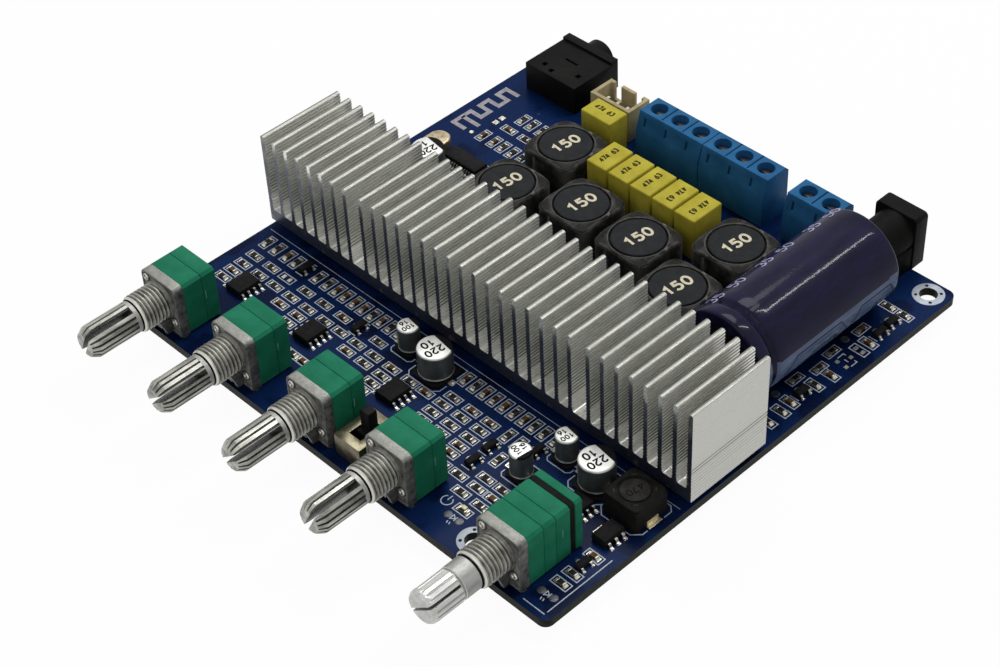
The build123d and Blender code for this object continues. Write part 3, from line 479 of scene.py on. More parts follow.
plainLook = dict(mottle=0.4, grain=6, metal=0.0, sheen=0.35, relief=0.2, depth=0.03)
looks = {
    "tinned lead": dict(colour=(186, 184, 174), shade=(120, 118, 110), rough=(0.25, 0.45), metal=0.9,
                        mottle=1.5, grain=9, relief=0.15),
    "solder": dict(colour=(232, 226, 208), shade=(140, 136, 122), rough=(0.22, 0.42), metal=0.7,
                   mottle=2.0, grain=5, relief=0.35),
    "dull tin": dict(colour=(96, 98, 100), shade=(66, 68, 74), rough=(0.35, 0.55), metal=0.6,
                     mottle=2.0, grain=5, relief=0.35),
    "bare copper": dict(colour=(142, 138, 142), shade=(110, 108, 114), rough=(0.4, 0.6), metal=0.5,
                        mottle=1.0),
    "ring tin": dict(colour=(180, 186, 194), shade=(146, 152, 162), rough=(0.45, 0.6), metal=0.3,
                     sheen=0.1),
    "via cap": dict(colour=(44, 62, 96), shade=(30, 46, 80), rough=(0.3, 0.5), grain=8, sheen=0.06),
    "gold pad": dict(colour=(238, 230, 200), shade=(196, 184, 146), rough=(0.25, 0.4), metal=0.9,
                     mottle=1.2, grain=8),
    "silk print": dict(colour=(206, 212, 220), shade=(160, 170, 184), rough=(0.6, 0.8), mottle=3.0,
                       grain=12, relief=0.3, depth=0.01, sheen=0.1),
    # the die-cast zinc's top colour is painted light on the faces that look up
    "die-cast zinc": dict(colour=(126, 126, 121), shade=(62, 63, 63), top=(154, 154, 147),
                          rough=(0.4, 0.65), metal=0.6, mottle=0.9, grain=3, relief=0.9, depth=0.06),
    # the cut thread's pale edge colour is a painted highlight on crests and rivets, its valley colour a
    # painted shade
    "cut thread": dict(colour=(134, 133, 125), shade=(70, 69, 64), edge=(204, 203, 194),
                       valleyShade=(30, 30, 28), rough=(0.3, 0.5), metal=0.8, mottle=0.7, grain=7,
                       relief=0.4),
    "turned aluminium": dict(colour=(190, 190, 182), shade=(118, 118, 113), rough=(0.28, 0.5),
                             metal=0.75, mottle=0.9, relief=0.5, stretch=(1, 0.25, 1)),
    "bright aluminium": dict(colour=(222, 222, 218), shade=(178, 178, 175), rough=(0.3, 0.5),
                             metal=0.45, mottle=0.5, relief=0.4, stretch=(1, 0.25, 1)),
    # painted shade for the knurl grooves and the slot
    "shaded knurl groove": dict(colour=(88, 87, 82), shade=(44, 44, 41), rough=(0.4, 0.6), metal=0.5,
                         mottle=0.9, relief=0.4, stretch=(1, 0.25, 1)),
    # on the volume shaft's knurl and slot this groove tone is a milder painted shade; on the collars it is
    # their own colour
    "bright groove": dict(colour=(172, 172, 168), shade=(136, 136, 133), rough=(0.4, 0.6), metal=0.4,
                          mottle=0.6, relief=0.4, stretch=(1, 0.25, 1)),
    # painted shade for recesses, bores, gaps and holes
    "painted recess shade": dict(colour=(34, 33, 32), shade=(17, 17, 16), rough=(0.5, 0.8), metal=0.2, grain=5,
                        sheen=0.05),
    "green wafer": dict(colour=(38, 124, 94), shade=(26, 108, 80), rough=(0.4, 0.6), mottle=0.3,
                        grain=5, relief=0.25, sheen=0.05),
    "green scuff": dict(colour=(116, 164, 142), shade=(92, 146, 122), rough=(0.4, 0.6), sheen=0.05),
    "black wafer": dict(colour=(26, 26, 27), shade=(16, 16, 17), rough=(0.5, 0.7), sheen=0.05),
    "nickel shell": dict(colour=(132, 125, 104), shade=(86, 81, 66), rough=(0.25, 0.45), metal=0.85,
                         mottle=0.5),
    "black lever": dict(colour=(28, 28, 29), shade=(17, 17, 18), rough=(0.4, 0.6), grain=7, sheen=0.06),
    "moulded black": dict(colour=(20, 20, 19), shade=(12, 12, 12), rough=(0.42, 0.62), mottle=0.3,
                          grain=5, relief=0.35, sheen=0.04),
    "shield black": dict(colour=(33, 32, 31), shade=(20, 20, 19), rough=(0.5, 0.7), mottle=0.5,
                         relief=0.4, sheen=0.05),
    "shield face": dict(colour=(60, 58, 54), shade=(38, 37, 35), rough=(0.5, 0.7), mottle=0.5,
                        relief=0.4, sheen=0.05),
    "core face": dict(colour=(42, 44, 46), shade=(33, 34, 36), rough=(0.55, 0.75), mottle=0.8, grain=9,
                      relief=0.4, sheen=0.06),
    "epoxy black": dict(colour=(33, 33, 34), shade=(22, 22, 23), rough=(0.55, 0.8), mottle=1.0,
                        grain=14, relief=0.5, depth=0.02, sheen=0.05),
    "cream nylon": dict(colour=(182, 170, 134), shade=(152, 140, 106), rough=(0.45, 0.65), sheen=0.1),
    "terminal blue": dict(colour=(46, 104, 152), shade=(34, 88, 132), rough=(0.4, 0.6), mottle=0.25,
                          grain=5, relief=0.3, sheen=0.05),
    "zinc-plated steel": dict(colour=(160, 150, 128), shade=(88, 82, 68), rough=(0.3, 0.5), metal=0.9,
                              mottle=1.0, relief=0.4),
    "film yellow": dict(colour=(190, 178, 66), shade=(166, 154, 50), rough=(0.4, 0.6), mottle=0.3,
                        sheen=0.06),
    "dark print": dict(colour=(70, 64, 28), shade=(46, 42, 18), rough=(0.55, 0.75), grain=9,
                       sheen=0.05),
    "black print": dict(colour=(24, 24, 25), shade=(14, 14, 15), rough=(0.5, 0.7), grain=9, sheen=0.05),
    "cream print": dict(colour=(228, 220, 194), shade=(190, 182, 156), rough=(0.5, 0.7), mottle=2.0,
                        grain=9, sheen=0.2),
    "can top": dict(colour=(226, 226, 221), shade=(192, 193, 189), rough=(0.35, 0.55), metal=0.6,
                    mottle=0.5, grain=8),
    "drawn can": dict(colour=(112, 116, 114), shade=(76, 80, 80), rough=(0.35, 0.5), metal=0.5, grain=8,
                      stretch=(1, 1, 0.2)),
    "can base": dict(colour=(24, 24, 25), shade=(15, 15, 16), rough=(0.45, 0.65), grain=8, sheen=0.05),
    "thick-film black": dict(colour=(36, 33, 28), shade=(20, 19, 17), rough=(0.4, 0.6), grain=12,
                             sheen=0.08),
    "ceramic brown": dict(colour=(108, 78, 48), shade=(62, 44, 28), rough=(0.45, 0.65), mottle=1.0,
                          grain=12, sheen=0.08),
    "alumina": dict(colour=(130, 128, 118), shade=(90, 88, 82), rough=(0.5, 0.7), grain=12, sheen=0.08),
    "pale bore rim": dict(colour=(88, 86, 82), shade=(46, 45, 43), rough=(0.45, 0.65), mottle=0.9,
                     relief=0.5, sheen=0.1),
    "pad rubber": dict(colour=(150, 154, 160), shade=(124, 128, 134), rough=(0.6, 0.8), grain=5),
    "plated can": dict(colour=(186, 172, 142), shade=(128, 116, 92), rough=(0.25, 0.45), metal=0.85,
                       mottle=1.0, grain=5),
    "lamp lens": dict(colour=(222, 214, 170), shade=(200, 190, 140), rough=(0.15, 0.3), grain=8,
                      sheen=0.4),
}


def plainFinish(name):  # mottled colour, uneven gloss and a fine grain, with painted highlight, painted shade and painted top light where a look asks for them, all from one table
    look = {**plainLook, **looks[name]}
    paint = paints(look)
    material, wiring = newFinish(name)
    place = wiring.place(*look.get("stretch", ()))
    fine = wiring.noise(place, look["grain"], 3.0)
    colour = wiring.ramp(wiring.noise(place, look["mottle"]), (0.3, paint["shade"]), (0.7, paint["colour"]))
    if "edge" in look:  # painted highlight, paler where the surface turns sharply
        colour = wiring.mix(wiring.span(wiring.surface("Pointiness"), 0.52, 0.6), colour, paint["edge"])
    if "valleyShade" in look:  # painted shade, darker where it folds inwards
        foldShade = wiring.span(wiring.surface("Pointiness"), 0.42, 0.49, 1.0, 0.0)
        colour = wiring.mix(foldShade, colour, paint["valleyShade"])
    if "top" in look:  # painted light, paler where it looks up
        upward = wiring.span(wiring.split(wiring.surface("True Normal"))["Z"], 0.4, 0.9, 0.0, 0.5)
        colour = wiring.mix(upward, colour, paint["top"])
    wiring.feed(wiring.shader, Base_Color=colour, Roughness=wiring.span(fine, 0.3, 0.7, *look["rough"]),
                Metallic=look["metal"], Specular_IOR_Level=look["sheen"], Coat_Roughness=0.1)
    wiring.bump(fine, look["relief"], look["depth"])
    return material


def boardFinish():
    look = dict(mask=(7, 21, 53), copper=(12, 34, 76), edge=(46, 50, 38), core=(20, 23, 18), pourSize=0.16,
                sheen=0.035)
    paint = paints(look)
    material, wiring = newFinish("solder mask")
    place = wiring.place()
    cells = wiring.add("TexVoronoi", Vector=place, Scale=look["pourSize"] / mm)
    cells.distance = "CHEBYCHEV"
    pour = wiring.math("ADD", wiring.noise(place, 0.09, 2.0),
                       wiring.math("MULTIPLY", cells.outputs["Distance"], 0.25))
    mask = wiring.ramp(pour, (0.50, paint["mask"]), (0.56, paint["copper"]))
    weave = wiring.noise(wiring.place(1, 1, 8), 1.2, 3.0)
    laminate = wiring.ramp(weave, (0.35, paint["core"]), (0.65, paint["edge"]))
    fine = wiring.noise(place, 2.5, 3.0)
    wiring.feed(wiring.shader, Base_Color=wiring.mix(wiring.looksAlong("Z"), laminate, mask),
                Roughness=wiring.span(fine, 0.3, 0.7, 0.2, 0.34), Specular_IOR_Level=look["sheen"])
    wiring.bump(fine, 0.12, 0.03)
    return material


def ferriteFinish():
    look = dict(dark=(24, 24, 24), mid=(42, 42, 41), rim=(102, 100, 95), chip=(116, 113, 106), sheen=0.08)
    paint = paints(look)
    material, wiring = newFinish("worn ferrite")
    place = wiring.place()
    broad = wiring.noise(place, 0.5, 5.0, 0.65)
    colour = wiring.ramp(broad, (0.35, paint["dark"]), (0.7, paint["mid"]))
    turning = wiring.math("ADD", wiring.surface("Pointiness"), wiring.math("MULTIPLY", broad, 0.08))
    colour = wiring.mix(wiring.span(turning, 0.555, 0.63), colour, paint["rim"])
    chips = wiring.isPast(wiring.noise(place, 1.1, 5.0, 0.75), 0.675)
    colour = wiring.mix(wiring.math("MULTIPLY", chips, 0.7), colour, paint["chip"])
    fine = wiring.noise(place, 5.0)
    wiring.feed(wiring.shader, Base_Color=colour, Roughness=wiring.span(fine, 0.3, 0.7, 0.5, 0.75),
                Specular_IOR_Level=look["sheen"])
    wiring.bump(fine, 0.5, 0.05)
    return material


def sleeveFinish(name, colour, dark):  # shrink film: print under a clear, slightly creased skin
    material, wiring = newFinish(name)
    wrinkle = wiring.noise(wiring.place(1, 0.3, 1), 0.5, 4.0, 0.6)
    wiring.bump(wiring.noise(wiring.place(1, 0.5, 1), 1.1, 5.0, 0.6), 0.16, 0.1)
    wiring.feed(wiring.shader, Base_Color=wiring.ramp(wrinkle, (0.3, seen(*dark)), (0.7, seen(*colour))),
                Roughness=wiring.span(wrinkle, 0.3, 0.7, 0.2, 0.34), Specular_IOR_Level=0.03,
                Coat_Weight=0.16, Coat_Roughness=0.05,
                Coat_Normal=wiring.shader.inputs["Normal"].links[0].from_socket)
    return material


finish = {name: plainFinish(name) for name in looks}
finish["solder mask"] = boardFinish()
finish["worn ferrite"] = ferriteFinish()
sleeveColours = {"violet sleeve": ((28, 25, 57), (18, 17, 39)),
                 "sleeve band": ((92, 108, 138), (74, 88, 118)),
                 "sleeve mark": ((176, 174, 208), (140, 138, 180))}
for name, colours in sleeveColours.items():
    finish[name] = sleeveFinish(name, *colours)
print("stage 2: finishes ready,", len(finish))


# circuit board
paintNodes("solder mask", "circuit_board")
printed = dict(line=0.19, thick=0.02, layerStep=0.0005, layers=16, boxLong=3.3, boxWide=1.6)
silk = Piece("silk_lines", "silk print")
tinned = Piece("tinned_pads", "solder", "painted recess shade", "dull tin", "via cap", "ring tin")


def silkPath(*points, closed=False, wide=None):  # crossing lines lie at different heights
    path = [*points, points[0]] if closed else points
    layer = printed["thick"] + printed["layerStep"] * (len(silk.faces) // 4 % printed["layers"])
    silk.add(ribbonForm(path, wide or printed["line"], layer))


def silkLine(x0, y0, x1, y1, wide=None):
    silkPath((x0, y0), (x1, y1), wide=wide)


def silkBox(middle, halfWide, halfDeep):
    x0, y0, x1, y1 = middle.x - halfWide, middle.y - halfDeep, middle.x + halfWide, middle.y + halfDeep
    silkPath((x0, y0), (x1, y0), (x1, y1), (x0, y1), closed=True)


def flatPad(x, y, wide, deep):
    tinned.add(blockForm(wide, deep, 0.04, 0.015, 1), shift(x, y))


# small chip resistors and capacitors
chipPart = dict(cap=0.28, fillet=0.38, padLong=0.66, padWide=0.95, bodyShort=0.2, glassShare=0.16,
                brownShare=0.26)


def chipEnds(part, long, wide, high):  # plated end, solder fillet and pad on both ends
    look = chipPart
    cap = blockForm(look["cap"], wide + 0.02, high + 0.02, 0.06)
    reach = look["fillet"]
    slope = [(0, 0), (reach, 0), (reach * 0.55, high * 0.22), (reach * 0.2, high * 0.5), (0, high * 0.85)]
    fillet = ringsForm([[Vector((u, side * wide * 0.46, v)) for u, v in slope] for side in (1, -1)])
    pad = blockForm(look["padLong"], look["padWide"], 0.035, 0.012, 1)
    for side in (0, 180):
        turn = shift(0, 0, 0, side)
        part.add(cap, turn @ shift(long / 2 - look["cap"] / 2, 0), 2)
        part.add(fillet, turn @ shift(long / 2 - 0.01, 0, 0.01), 3)
        part.add(pad, turn @ shift(long / 2 + 0.12, 0), 3)


def makeChipParts():
    look = chipPart
    finishes = ("thick-film black", "ceramic brown", "tinned lead", "solder", "alumina")
    piece = Piece("chip_resistors_and_capacitors", *finishes)
    for box in solidBoxes("chip_components"):
        across = box.size.x > box.size.y
        long, wide, high = max(box.size.xy), min(box.size.xy), box.size.z
        part = Piece("part", *finishes)
        chipEnds(part, long, wide, high)
        if dice.random() < look["brownShare"]:
            part.add(blockForm(long - look["bodyShort"], wide, high, 0.05), None, 1)
        else:
            glass = high * look["glassShare"]
            part.add(blockForm(long - look["bodyShort"], wide, high * 0.86, 0.03), None, 4)
            part.add(blockForm(long - 2 * look["cap"] + 0.04, wide * 0.94, glass, 0.02),
                     shift(0, 0, high - glass))
        piece.addPart(part, shift(box.middle.x, box.middle.y, 0.0, 0 if across else 90))
        frameSize = (printed["boxLong"] / 2, printed["boxWide"] / 2)
        silkBox(box.middle, *(frameSize if across else reversed(frameSize)))
    piece.build("board", "chip_ceramic", "chip_components")


# chips with gull-wing leads
chipLooks = {
    "driver": dict(body=(3.9, 4.9), leads=(4, 4), pitch=1.27, leadWide=0.42, reach=1.05),
    "radio": dict(body=(3.4, 8.6), leads=(12, 12), pitch=0.65, leadWide=0.24, reach=0.8),
    "transistor": dict(body=(1.4, 2.9), leads=(2, 1), pitch=1.9, leadWide=0.42, reach=0.55),
    "regulator": dict(body=(3.0, 4.6), leads=(3, 1), pitch=1.5, leadWide=0.5, reach=0.8, tabWide=0.38),
}


def chipBody(piece, look, where, high):
    wide, long = look["body"]
    waist = high * 0.5
    sides = ((0.12, 0.1), (waist, 0.0), (waist + 0.02, 0.0), (high - 0.06, 0.12), (high, 0.2))
    shape = [lift(roundedOutline(wide - 2 * shrink, long - 2 * shrink, 0.08, 2), height)
             for height, shrink in sides]
    piece.add(ringsForm(shape), where)
    if wide > 3:
        dimple = latheForm([(0.0, -0.02), (0.28, -0.02), (0.3, 0.012), (0.0, 0.012)], 14)
        # the dimple is painted shade
        piece.add(dimple, where @ shift(-wide * 0.28, -long * 0.32, high), 3)


def chipLeads(piece, look, where, high):
    wide, long = look["body"]
    waist, reach, edge = high * 0.5, look["reach"], wide / 2
    path = [(edge - 0.1, waist), (edge + reach * 0.25, waist), (edge + reach * 0.4, waist * 0.75),
            (edge + reach * 0.5, 0.2), (edge + reach * 0.65, 0.12), (edge + reach, 0.12)]
    for side, count in zip((0, 180), look["leads"]):
        for i in range(count):
            isTab = count == 1 and "tabWide" in look
            leadWide = long * look["tabWide"] if isTab else look["leadWide"]
            place = where @ shift(0, 0, 0, side) @ shift(0, (i - (count - 1) / 2) * look["pitch"])
            piece.add(stripForm(path, leadWide), place, 1)
            foot = blockForm(reach * 0.75, leadWide + 0.2, 0.05, 0.02, 1)
            piece.add(foot, place @ shift(edge + reach * 0.85, 0), 2)
            bead = blockForm(reach * 0.3, leadWide * 0.9, 0.22, 0.08)
            piece.add(bead, place @ shift(edge + reach * 0.98, 0), 2)


def chipKind(size):
    for least, name in ((7.0, "radio"), (5.5, "driver"), (4.0, "regulator")):
        if size.x > least:
            return name
    return "transistor"


def makeChips():
    piece = Piece("chips_with_leads", "epoxy black", "tinned lead", "solder", "painted recess shade")
    for box in solidBoxes("control_chips"):
        name, x, y = chipKind(box.size), box.middle.x, box.middle.y
        where = shift(x, y, 0.0, 90 if name == "radio" else 0)
        chipBody(piece, chipLooks[name], where, box.size.z)
        chipLeads(piece, chipLooks[name], where, box.size.z)
        if name == "transistor":
            for side in (1.75, -1.75):
                silkLine(x - 0.9, y + side, x + 0.9, y + side)
    piece.build("board", "chip_black", "control_chips")


# surface-mount capacitors
canLook = dict(curl=0.36, groove=0.12, foot=0.34, dark=0.52, digits=0.54, turn=-8, oddTurn=-98,
               oddCan=(77.5, 19.3), bigRadius=2.5, bigMarks=("220", "10"), smallMarks=("100", "16"),
               baseEdge=0.15, baseHigh=0.42, baseCut=0.3, frameGap=0.45, frameFree=1.2,
               corner=(0.5, 0.5, 0.75), lead=(1.3, 0.7, 0.12), pad=(1.5, 1.2, 0.05))


def canShell(cans, box, where, turned):  # bead and groove at the foot, crown rolled over the top
    look = canLook
    radius, foot, top = box.size.x / 2, box.low.z, box.high.z
    curl, groove = look["curl"], look["groove"]
    neck, bead = radius - groove * 0.4, foot + look["foot"]
    side = [(0.0, foot), (radius - 0.1, foot), (radius, foot + 0.1), (radius - 0.06, bead),
            (radius - groove, bead + 0.12), (radius - groove, bead + 0.25), (neck, bead + 0.4),
            (neck, top - curl)]
    cans.add(latheForm(side[:4], 40), where, 2)
    cans.add(latheForm(side[3:], 40), where, 0)
    over = [(radius - curl + (curl - groove * 0.4) * math.cos(a), top - curl + curl * math.sin(a))
            for a in quarterTurn(5)]
    crown = latheForm(over + [(0.0, top)], 60)
    first = len(cans.marks)
    cans.add(crown, where, 2)
    for k, face in enumerate(crown[1]):  # the dark field runs over the rounded rim
        centre = faceMiddle(crown, face)
        centre.rotate(turned.inverted().to_quaternion())
        isRim = centre.xy.length > (radius - curl * 0.55) * 0.9
        if isRim and centre.y > look["dark"] * radius * 1.04:
            cans.marks[first + k] = 1


def canPrint(cans, radius, turned):  # dark field and two plain numbers
    look = canLook
    flat = radius - look["curl"] * 0.55
    reach = math.degrees(math.acos(look["dark"] * radius / flat))
    cans.add(prismForm(arcPath(0, 0, flat, flat, 90 - reach, 90 + reach, 16), -0.02, 0.01), turned, 1)
    marks = look["bigMarks"] if radius > look["bigRadius"] else look["smallMarks"]
    for word, along in zip(marks, (0.26, -0.4)):
        number = numberForm(word, radius * look["digits"], 0.015, 0.2, 0.84)
        cans.add(number, turned @ shift(radius * along, -radius * 0.16, 0.004, -90), 1)


def canBase(feet, radius, where):
    look = canLook
    edge, cut = radius + look["baseEdge"], radius * look["baseCut"]
    corners = [(edge, -edge + cut), (edge, edge), (-edge, edge), (-edge, -edge + cut),
               (-edge + cut, -edge), (edge - cut, -edge)]
    feet.add(prismForm(corners, 0.0, look["baseHigh"], 0.06), where)
    feet.add(latheForm([(0.0, 0.3), (radius + 0.05, 0.3), (radius + 0.05, 0.5), (radius - 0.1, 0.56),
                        (0.0, 0.56)], 36), where)
    for side in (-1, 1):
        feet.add(blockForm(*look["corner"], 0.1), where @ shift(side * (edge - 0.32), edge - 0.32))
        feet.add(blockForm(*look["lead"], 0.04), where @ shift(side * (edge + 0.25), 0), 1)
        feet.add(blockForm(*look["pad"], 0.02, 1), where @ shift(side * (edge + 0.4), 0), 2)


def canFrame(x, y, radius):  # printed frame with two cut corners
    look = canLook
    gap, cut = radius + look["baseEdge"] + look["frameGap"], radius * look["baseCut"]
    left, right, near, far = x - gap, x + gap, y - gap, y + gap
    free = look["frameFree"]
    silkPath((left, y - free), (left, near + cut), (left + cut, near), (right - cut, near),
             (right, near + cut), (right, y - free))
    silkPath((left, y + free), (left, far), (right, far), (right, y + free))


def makeCans():
    look = canLook
    cans = Piece("capacitor_cans", "drawn can", "black print", "can top")
    feet = Piece("capacitor_feet", "can base", "tinned lead", "solder")
    for box in solidBoxes("smd_capacitor_cans"):
        x, y, radius = box.middle.x, box.middle.y, box.size.x / 2
        isOdd = math.dist((x, y), look["oddCan"]) < 1.0
        turned = shift(x, y, box.high.z, look["oddTurn"] if isOdd else look["turn"])
        canShell(cans, box, shift(x, y), turned)
        canPrint(cans, radius, turned)
        canBase(feet, radius, shift(x, y))
        canFrame(x, y, radius)
    cans.build("board", "can_aluminium", "smd_capacitor_cans")
    feet.build("board", "can_base_black", "smd_capacitor_bases")


makeChipParts()
makeChips()
makeCans()
print("stage 3: small parts placed")


# heatsink: one extruded section with ribbed fins in three groups
heatsinkLook = dict(finThick=0.95, groups=(8, 17, 8), groupExtra=1.0, base=2.58, ribs=22, ribDeep=0.13,
                    tip=0.3, root=0.45, ribGap=0.2, tipGap=0.15, ribGrooveShade=0.48, wornFrom=5,
                    wornRibs=(0.5, 0.12), metal=0.65, printGaps=(1.3, 0.9))
# foot is painted light; groove, end, tip and low are painted shade; cut and bright on the fronts are
# painted reflection; chip is wear
heatsinkTints = dict(bright=(248, 248, 242), dull=(214, 214, 206), foot=(252, 252, 248),
                     groove=(128, 128, 121), cut=(118, 120, 121), low=(66, 70, 88), tip=(122, 122, 116),
                     chip=(140, 140, 122), end=(194, 194, 188))


def ribShare(wiring, z, low, high):  # how much painted shade lies in the rib grooves at this height
    look = heatsinkLook
    first = low.z + (look["base"] + look["root"] + look["ribGap"]) * mm
    step = (high.z - (look["tip"] + look["tipGap"]) * mm - first) / look["ribs"]
    wave = wiring.math("FRACT", wiring.math("DIVIDE", wiring.math("SUBTRACT", z, first), step))
    fromGroove = wiring.math("ABSOLUTE", wiring.math("SUBTRACT", wave, 0.72))
    return wiring.span(fromGroove, 0.12, 0.24, look["ribGrooveShade"], 0.0)


def sawnEnds(wiring, paint, z, low, high):  # cut fronts of the fins: dark below in painted shade, paler towards the top as a painted reflection, and worn in spots
    cloud = wiring.noise(wiring.place(), 0.35)
    ragged = wiring.math("MULTIPLY", wiring.math("SUBTRACT", cloud, 0.5), 0.01)
    rise = wiring.span(wiring.math("ADD", z, ragged), low.z + 0.002, high.z + 0.0005)
    frontShade = wiring.ramp(rise, (0.0, paint["low"]), (0.68, paint["low"]), (0.86, paint["cut"]),
                       (0.98, paint["bright"]))
    worn = wiring.span(wiring.noise(wiring.place(), 0.45, 5.0, 0.7), 0.6, 0.68, 0.0, 0.8)
    return wiring.mix(worn, frontShade, paint["chip"])


def heatsinkFinish():
    paint = paints(heatsinkTints)
    material, wiring = newFinish("extruded aluminium")
    low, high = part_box("heatsink")
    streaks = wiring.noise(wiring.place(1, 0.06, 1), 2.2, 5.0, 0.65)
    cloud = wiring.noise(wiring.place(), 0.16, 3.0)
    drawn = wiring.math("ADD", wiring.math("MULTIPLY", streaks, 0.5), wiring.math("MULTIPLY", cloud, 0.5))
    metal = wiring.ramp(drawn, (0.38, paint["dull"]), (0.58, paint["bright"]))
    spot = wiring.split(wiring.place())
    z = spot["Z"]
    ribs = ribShare(wiring, z, low, high)
    # painted shade in the rib grooves
    metal = wiring.mix(ribs, metal, paint["groove"])
    # painted light, paler towards the foot between the fins
    metal = wiring.mix(wiring.span(z, low.z + 0.002, high.z, 0.75, 0.0), metal, paint["foot"])
    # painted shade on the outer faces of the end fins, with shaded ribs low down
    aside = wiring.math("ABSOLUTE", wiring.math("SUBTRACT", spot["X"], (low.x + high.x) / 2))
    outer = wiring.isPast(aside, (high.x - low.x) / 2 - 0.0003)
    lowRibs = wiring.span(z, low.z + 0.004, low.z + 0.010, 0.9, 0.25)
    endFaceShade = wiring.mix(wiring.math("MULTIPLY", ribs, lowRibs), paint["end"], paint["groove"])
    metal = wiring.mix(outer, metal, endFaceShade)
    # painted shade, darker on the fin tips that look up
    tipShadeMask = wiring.isPast(wiring.split(wiring.surface("True Normal"))["Z"], 0.45)
    isHigh = wiring.isPast(z, low.z + 0.006)
    metal = wiring.mix(wiring.math("MULTIPLY", tipShadeMask, isHigh), metal, paint["tip"])
    metal = wiring.mix(wiring.looksAlong("Y"), metal, sawnEnds(wiring, paint, z, low, high))
    wiring.feed(wiring.shader, Base_Color=metal, Roughness=wiring.span(streaks, 0.3, 0.7, 0.24, 0.4),
                Metallic=heatsinkLook["metal"])
    wiring.bump(streaks, 0.3, 0.04)
    return material


def ribbedSide(start, stop, isWorn):  # a worn side is nearly smooth above its lower ribs
    look = heatsinkLook
    step = (stop - start) / look["ribs"]
    side = []
    for i in range(look["ribs"]):
        low = start + (stop - start) * i / look["ribs"]
        share = look["wornRibs"][int(i > look["wornFrom"])] if isWorn else 1.0
        cut = look["ribDeep"] * share
        side += [(0.0, low), (0.0, low + step * 0.45), (cut, low + step * 0.6), (cut, low + step * 0.85)]
    return side + [(0.0, stop)]


def finOutline(left, foot, top, wornLeft, wornRight):  # up one side, over the tip and down
    look = heatsinkLook
    thick, tip, root = look["finThick"], look["tip"], look["root"]
    start, stop = foot + root + look["ribGap"], top - tip - look["tipGap"]
    flare = [(-root * (1 - math.sin(a)), foot + root * (1 - math.cos(a))) for a in quarterTurn(4)]
    up = [(left + x, z) for x, z in flare + ribbedSide(start, stop, wornLeft)]
    over = arcPath(left + thick / 2, top - tip, thick / 2, tip, 180, 0, 6)
    down = [(left + thick - x, z) for x, z in reversed(flare + ribbedSide(start, stop, wornRight))]
    return up + over + down


def makeHeatsink():
    look = heatsinkLook
    finish["extruded aluminium"] = heatsinkFinish()
    box = nodeBox("heatsink")
    low, high = box.low, box.high
    groups = look["groups"]
    free = box.size.x - look["finThick"] - look["groupExtra"] * (len(groups) - 1)
    pitch = free / (sum(groups) - 1)
    section = [(low.x, low.z)]
    left = low.x
    for group, fins in enumerate(groups):
        for i in range(fins):
            isFirst, isLast = group == i == 0, group == len(groups) - 1 and i == fins - 1
            outline = finOutline(left, low.z + look["base"], high.z, isFirst, isLast)
            section += [(min(max(x, low.x), high.x), z) for x, z in outline]
            left += pitch
        left += look["groupExtra"]
    section.append((high.x, low.z))
    cleaned = [section[0]]
    for point in section[1:]:
        if math.dist(point, cleaned[-1]) > 1e-4:
            cleaned.append(point)
    piece = Piece("ribbed_heatsink", "extruded aluminium")
    piece.add(ringsForm([[Vector((x, y, z)) for x, z in cleaned]
                         for y in (low.y, low.y + 0.06, high.y - 0.06, high.y)]))
    piece.build("board", "heatsink_aluminium", "heatsink", sharp=25)
    front, back = look["printGaps"]
    for edge in (low.y - front, high.y + back):
        silkLine(1.0, edge, boardWide - 1.0, edge, 0.12)


makeHeatsink()
paintNodes("zinc-plated steel", "heatsink_screws")
paintNodes("pad rubber", "thermal_pads")
paintNodes("epoxy black", "amplifier_chips")
print("stage 4: heatsink made")


# potentiometers
potLook = dict(plateThick=1.9, plateFoot=0.3, corner=1.1, rim=0.36, rimDeep=0.14, rivet=0.72,
               rivetInset=1.35, rivetHeights=(3.15, -3.35), web=0.8, webApart=3.4, stud=(1.3, 1.0, 1.2),
               leg=(1.0, 0.8, 3.8), threadPitch=0.75, threadDeep=0.26, threadFree=0.35,
               bushingRadius=3.5, bushingLong=5.7, boreRadius=3.12)
shaftLook = dict(radius=3.0, long=15.9, teeth=18, toothDeep=0.36, volumeShare=0.35, knurlTop=14.5,
                 slot=1.0, volumeSlot=0.5, volumeSlotFrom=9.75, slotTurns=(64, 37.5, 40, 63, 40))
waferLook = dict(seams=[4.0], volumeSeams=[3.4, 6.0, 9.05, 10.15], corner=0.5, blackInset=0.12,
                 seamHalf=0.03, tick=(0.08, 1.7, 0.2), tickAt=0.62)
volumePot = 5


def shaftHeight(i):
    return nodeBox(f"pot_shaft_{i}").middle.z


def plateBody(piece, wide, tall, where):  # cast plate with a raised rim round its face
    look = potLook
    corner, rim, deep = look["corner"], look["rim"], look["rimDeep"]
    square = [(wide / 2, -tall / 2), (wide / 2, tall / 2 - corner)]
    square += [(wide / 2 - corner + corner * math.cos(a), tall / 2 - corner + corner * math.sin(a))
               for a in quarterTurn(6, 1)]
    square += [(-x, y) for x, y in reversed(square)]
    inner = [(x * (1 - rim / (wide / 2)), y * (1 - rim / (tall / 2))) for x, y in square]
    piece.add(prismForm(square, -look["plateThick"], -deep, 0.1, 2), where)
    piece.add(ringsForm([lift(square, -deep - 0.05), lift(square, -0.12), lift(square, 0.0, 0.98),
                         lift(inner, 0.0, 1.025), lift(inner, -0.05), lift(inner, -deep - 0.05, 0.98)],
                        closed=False), where)


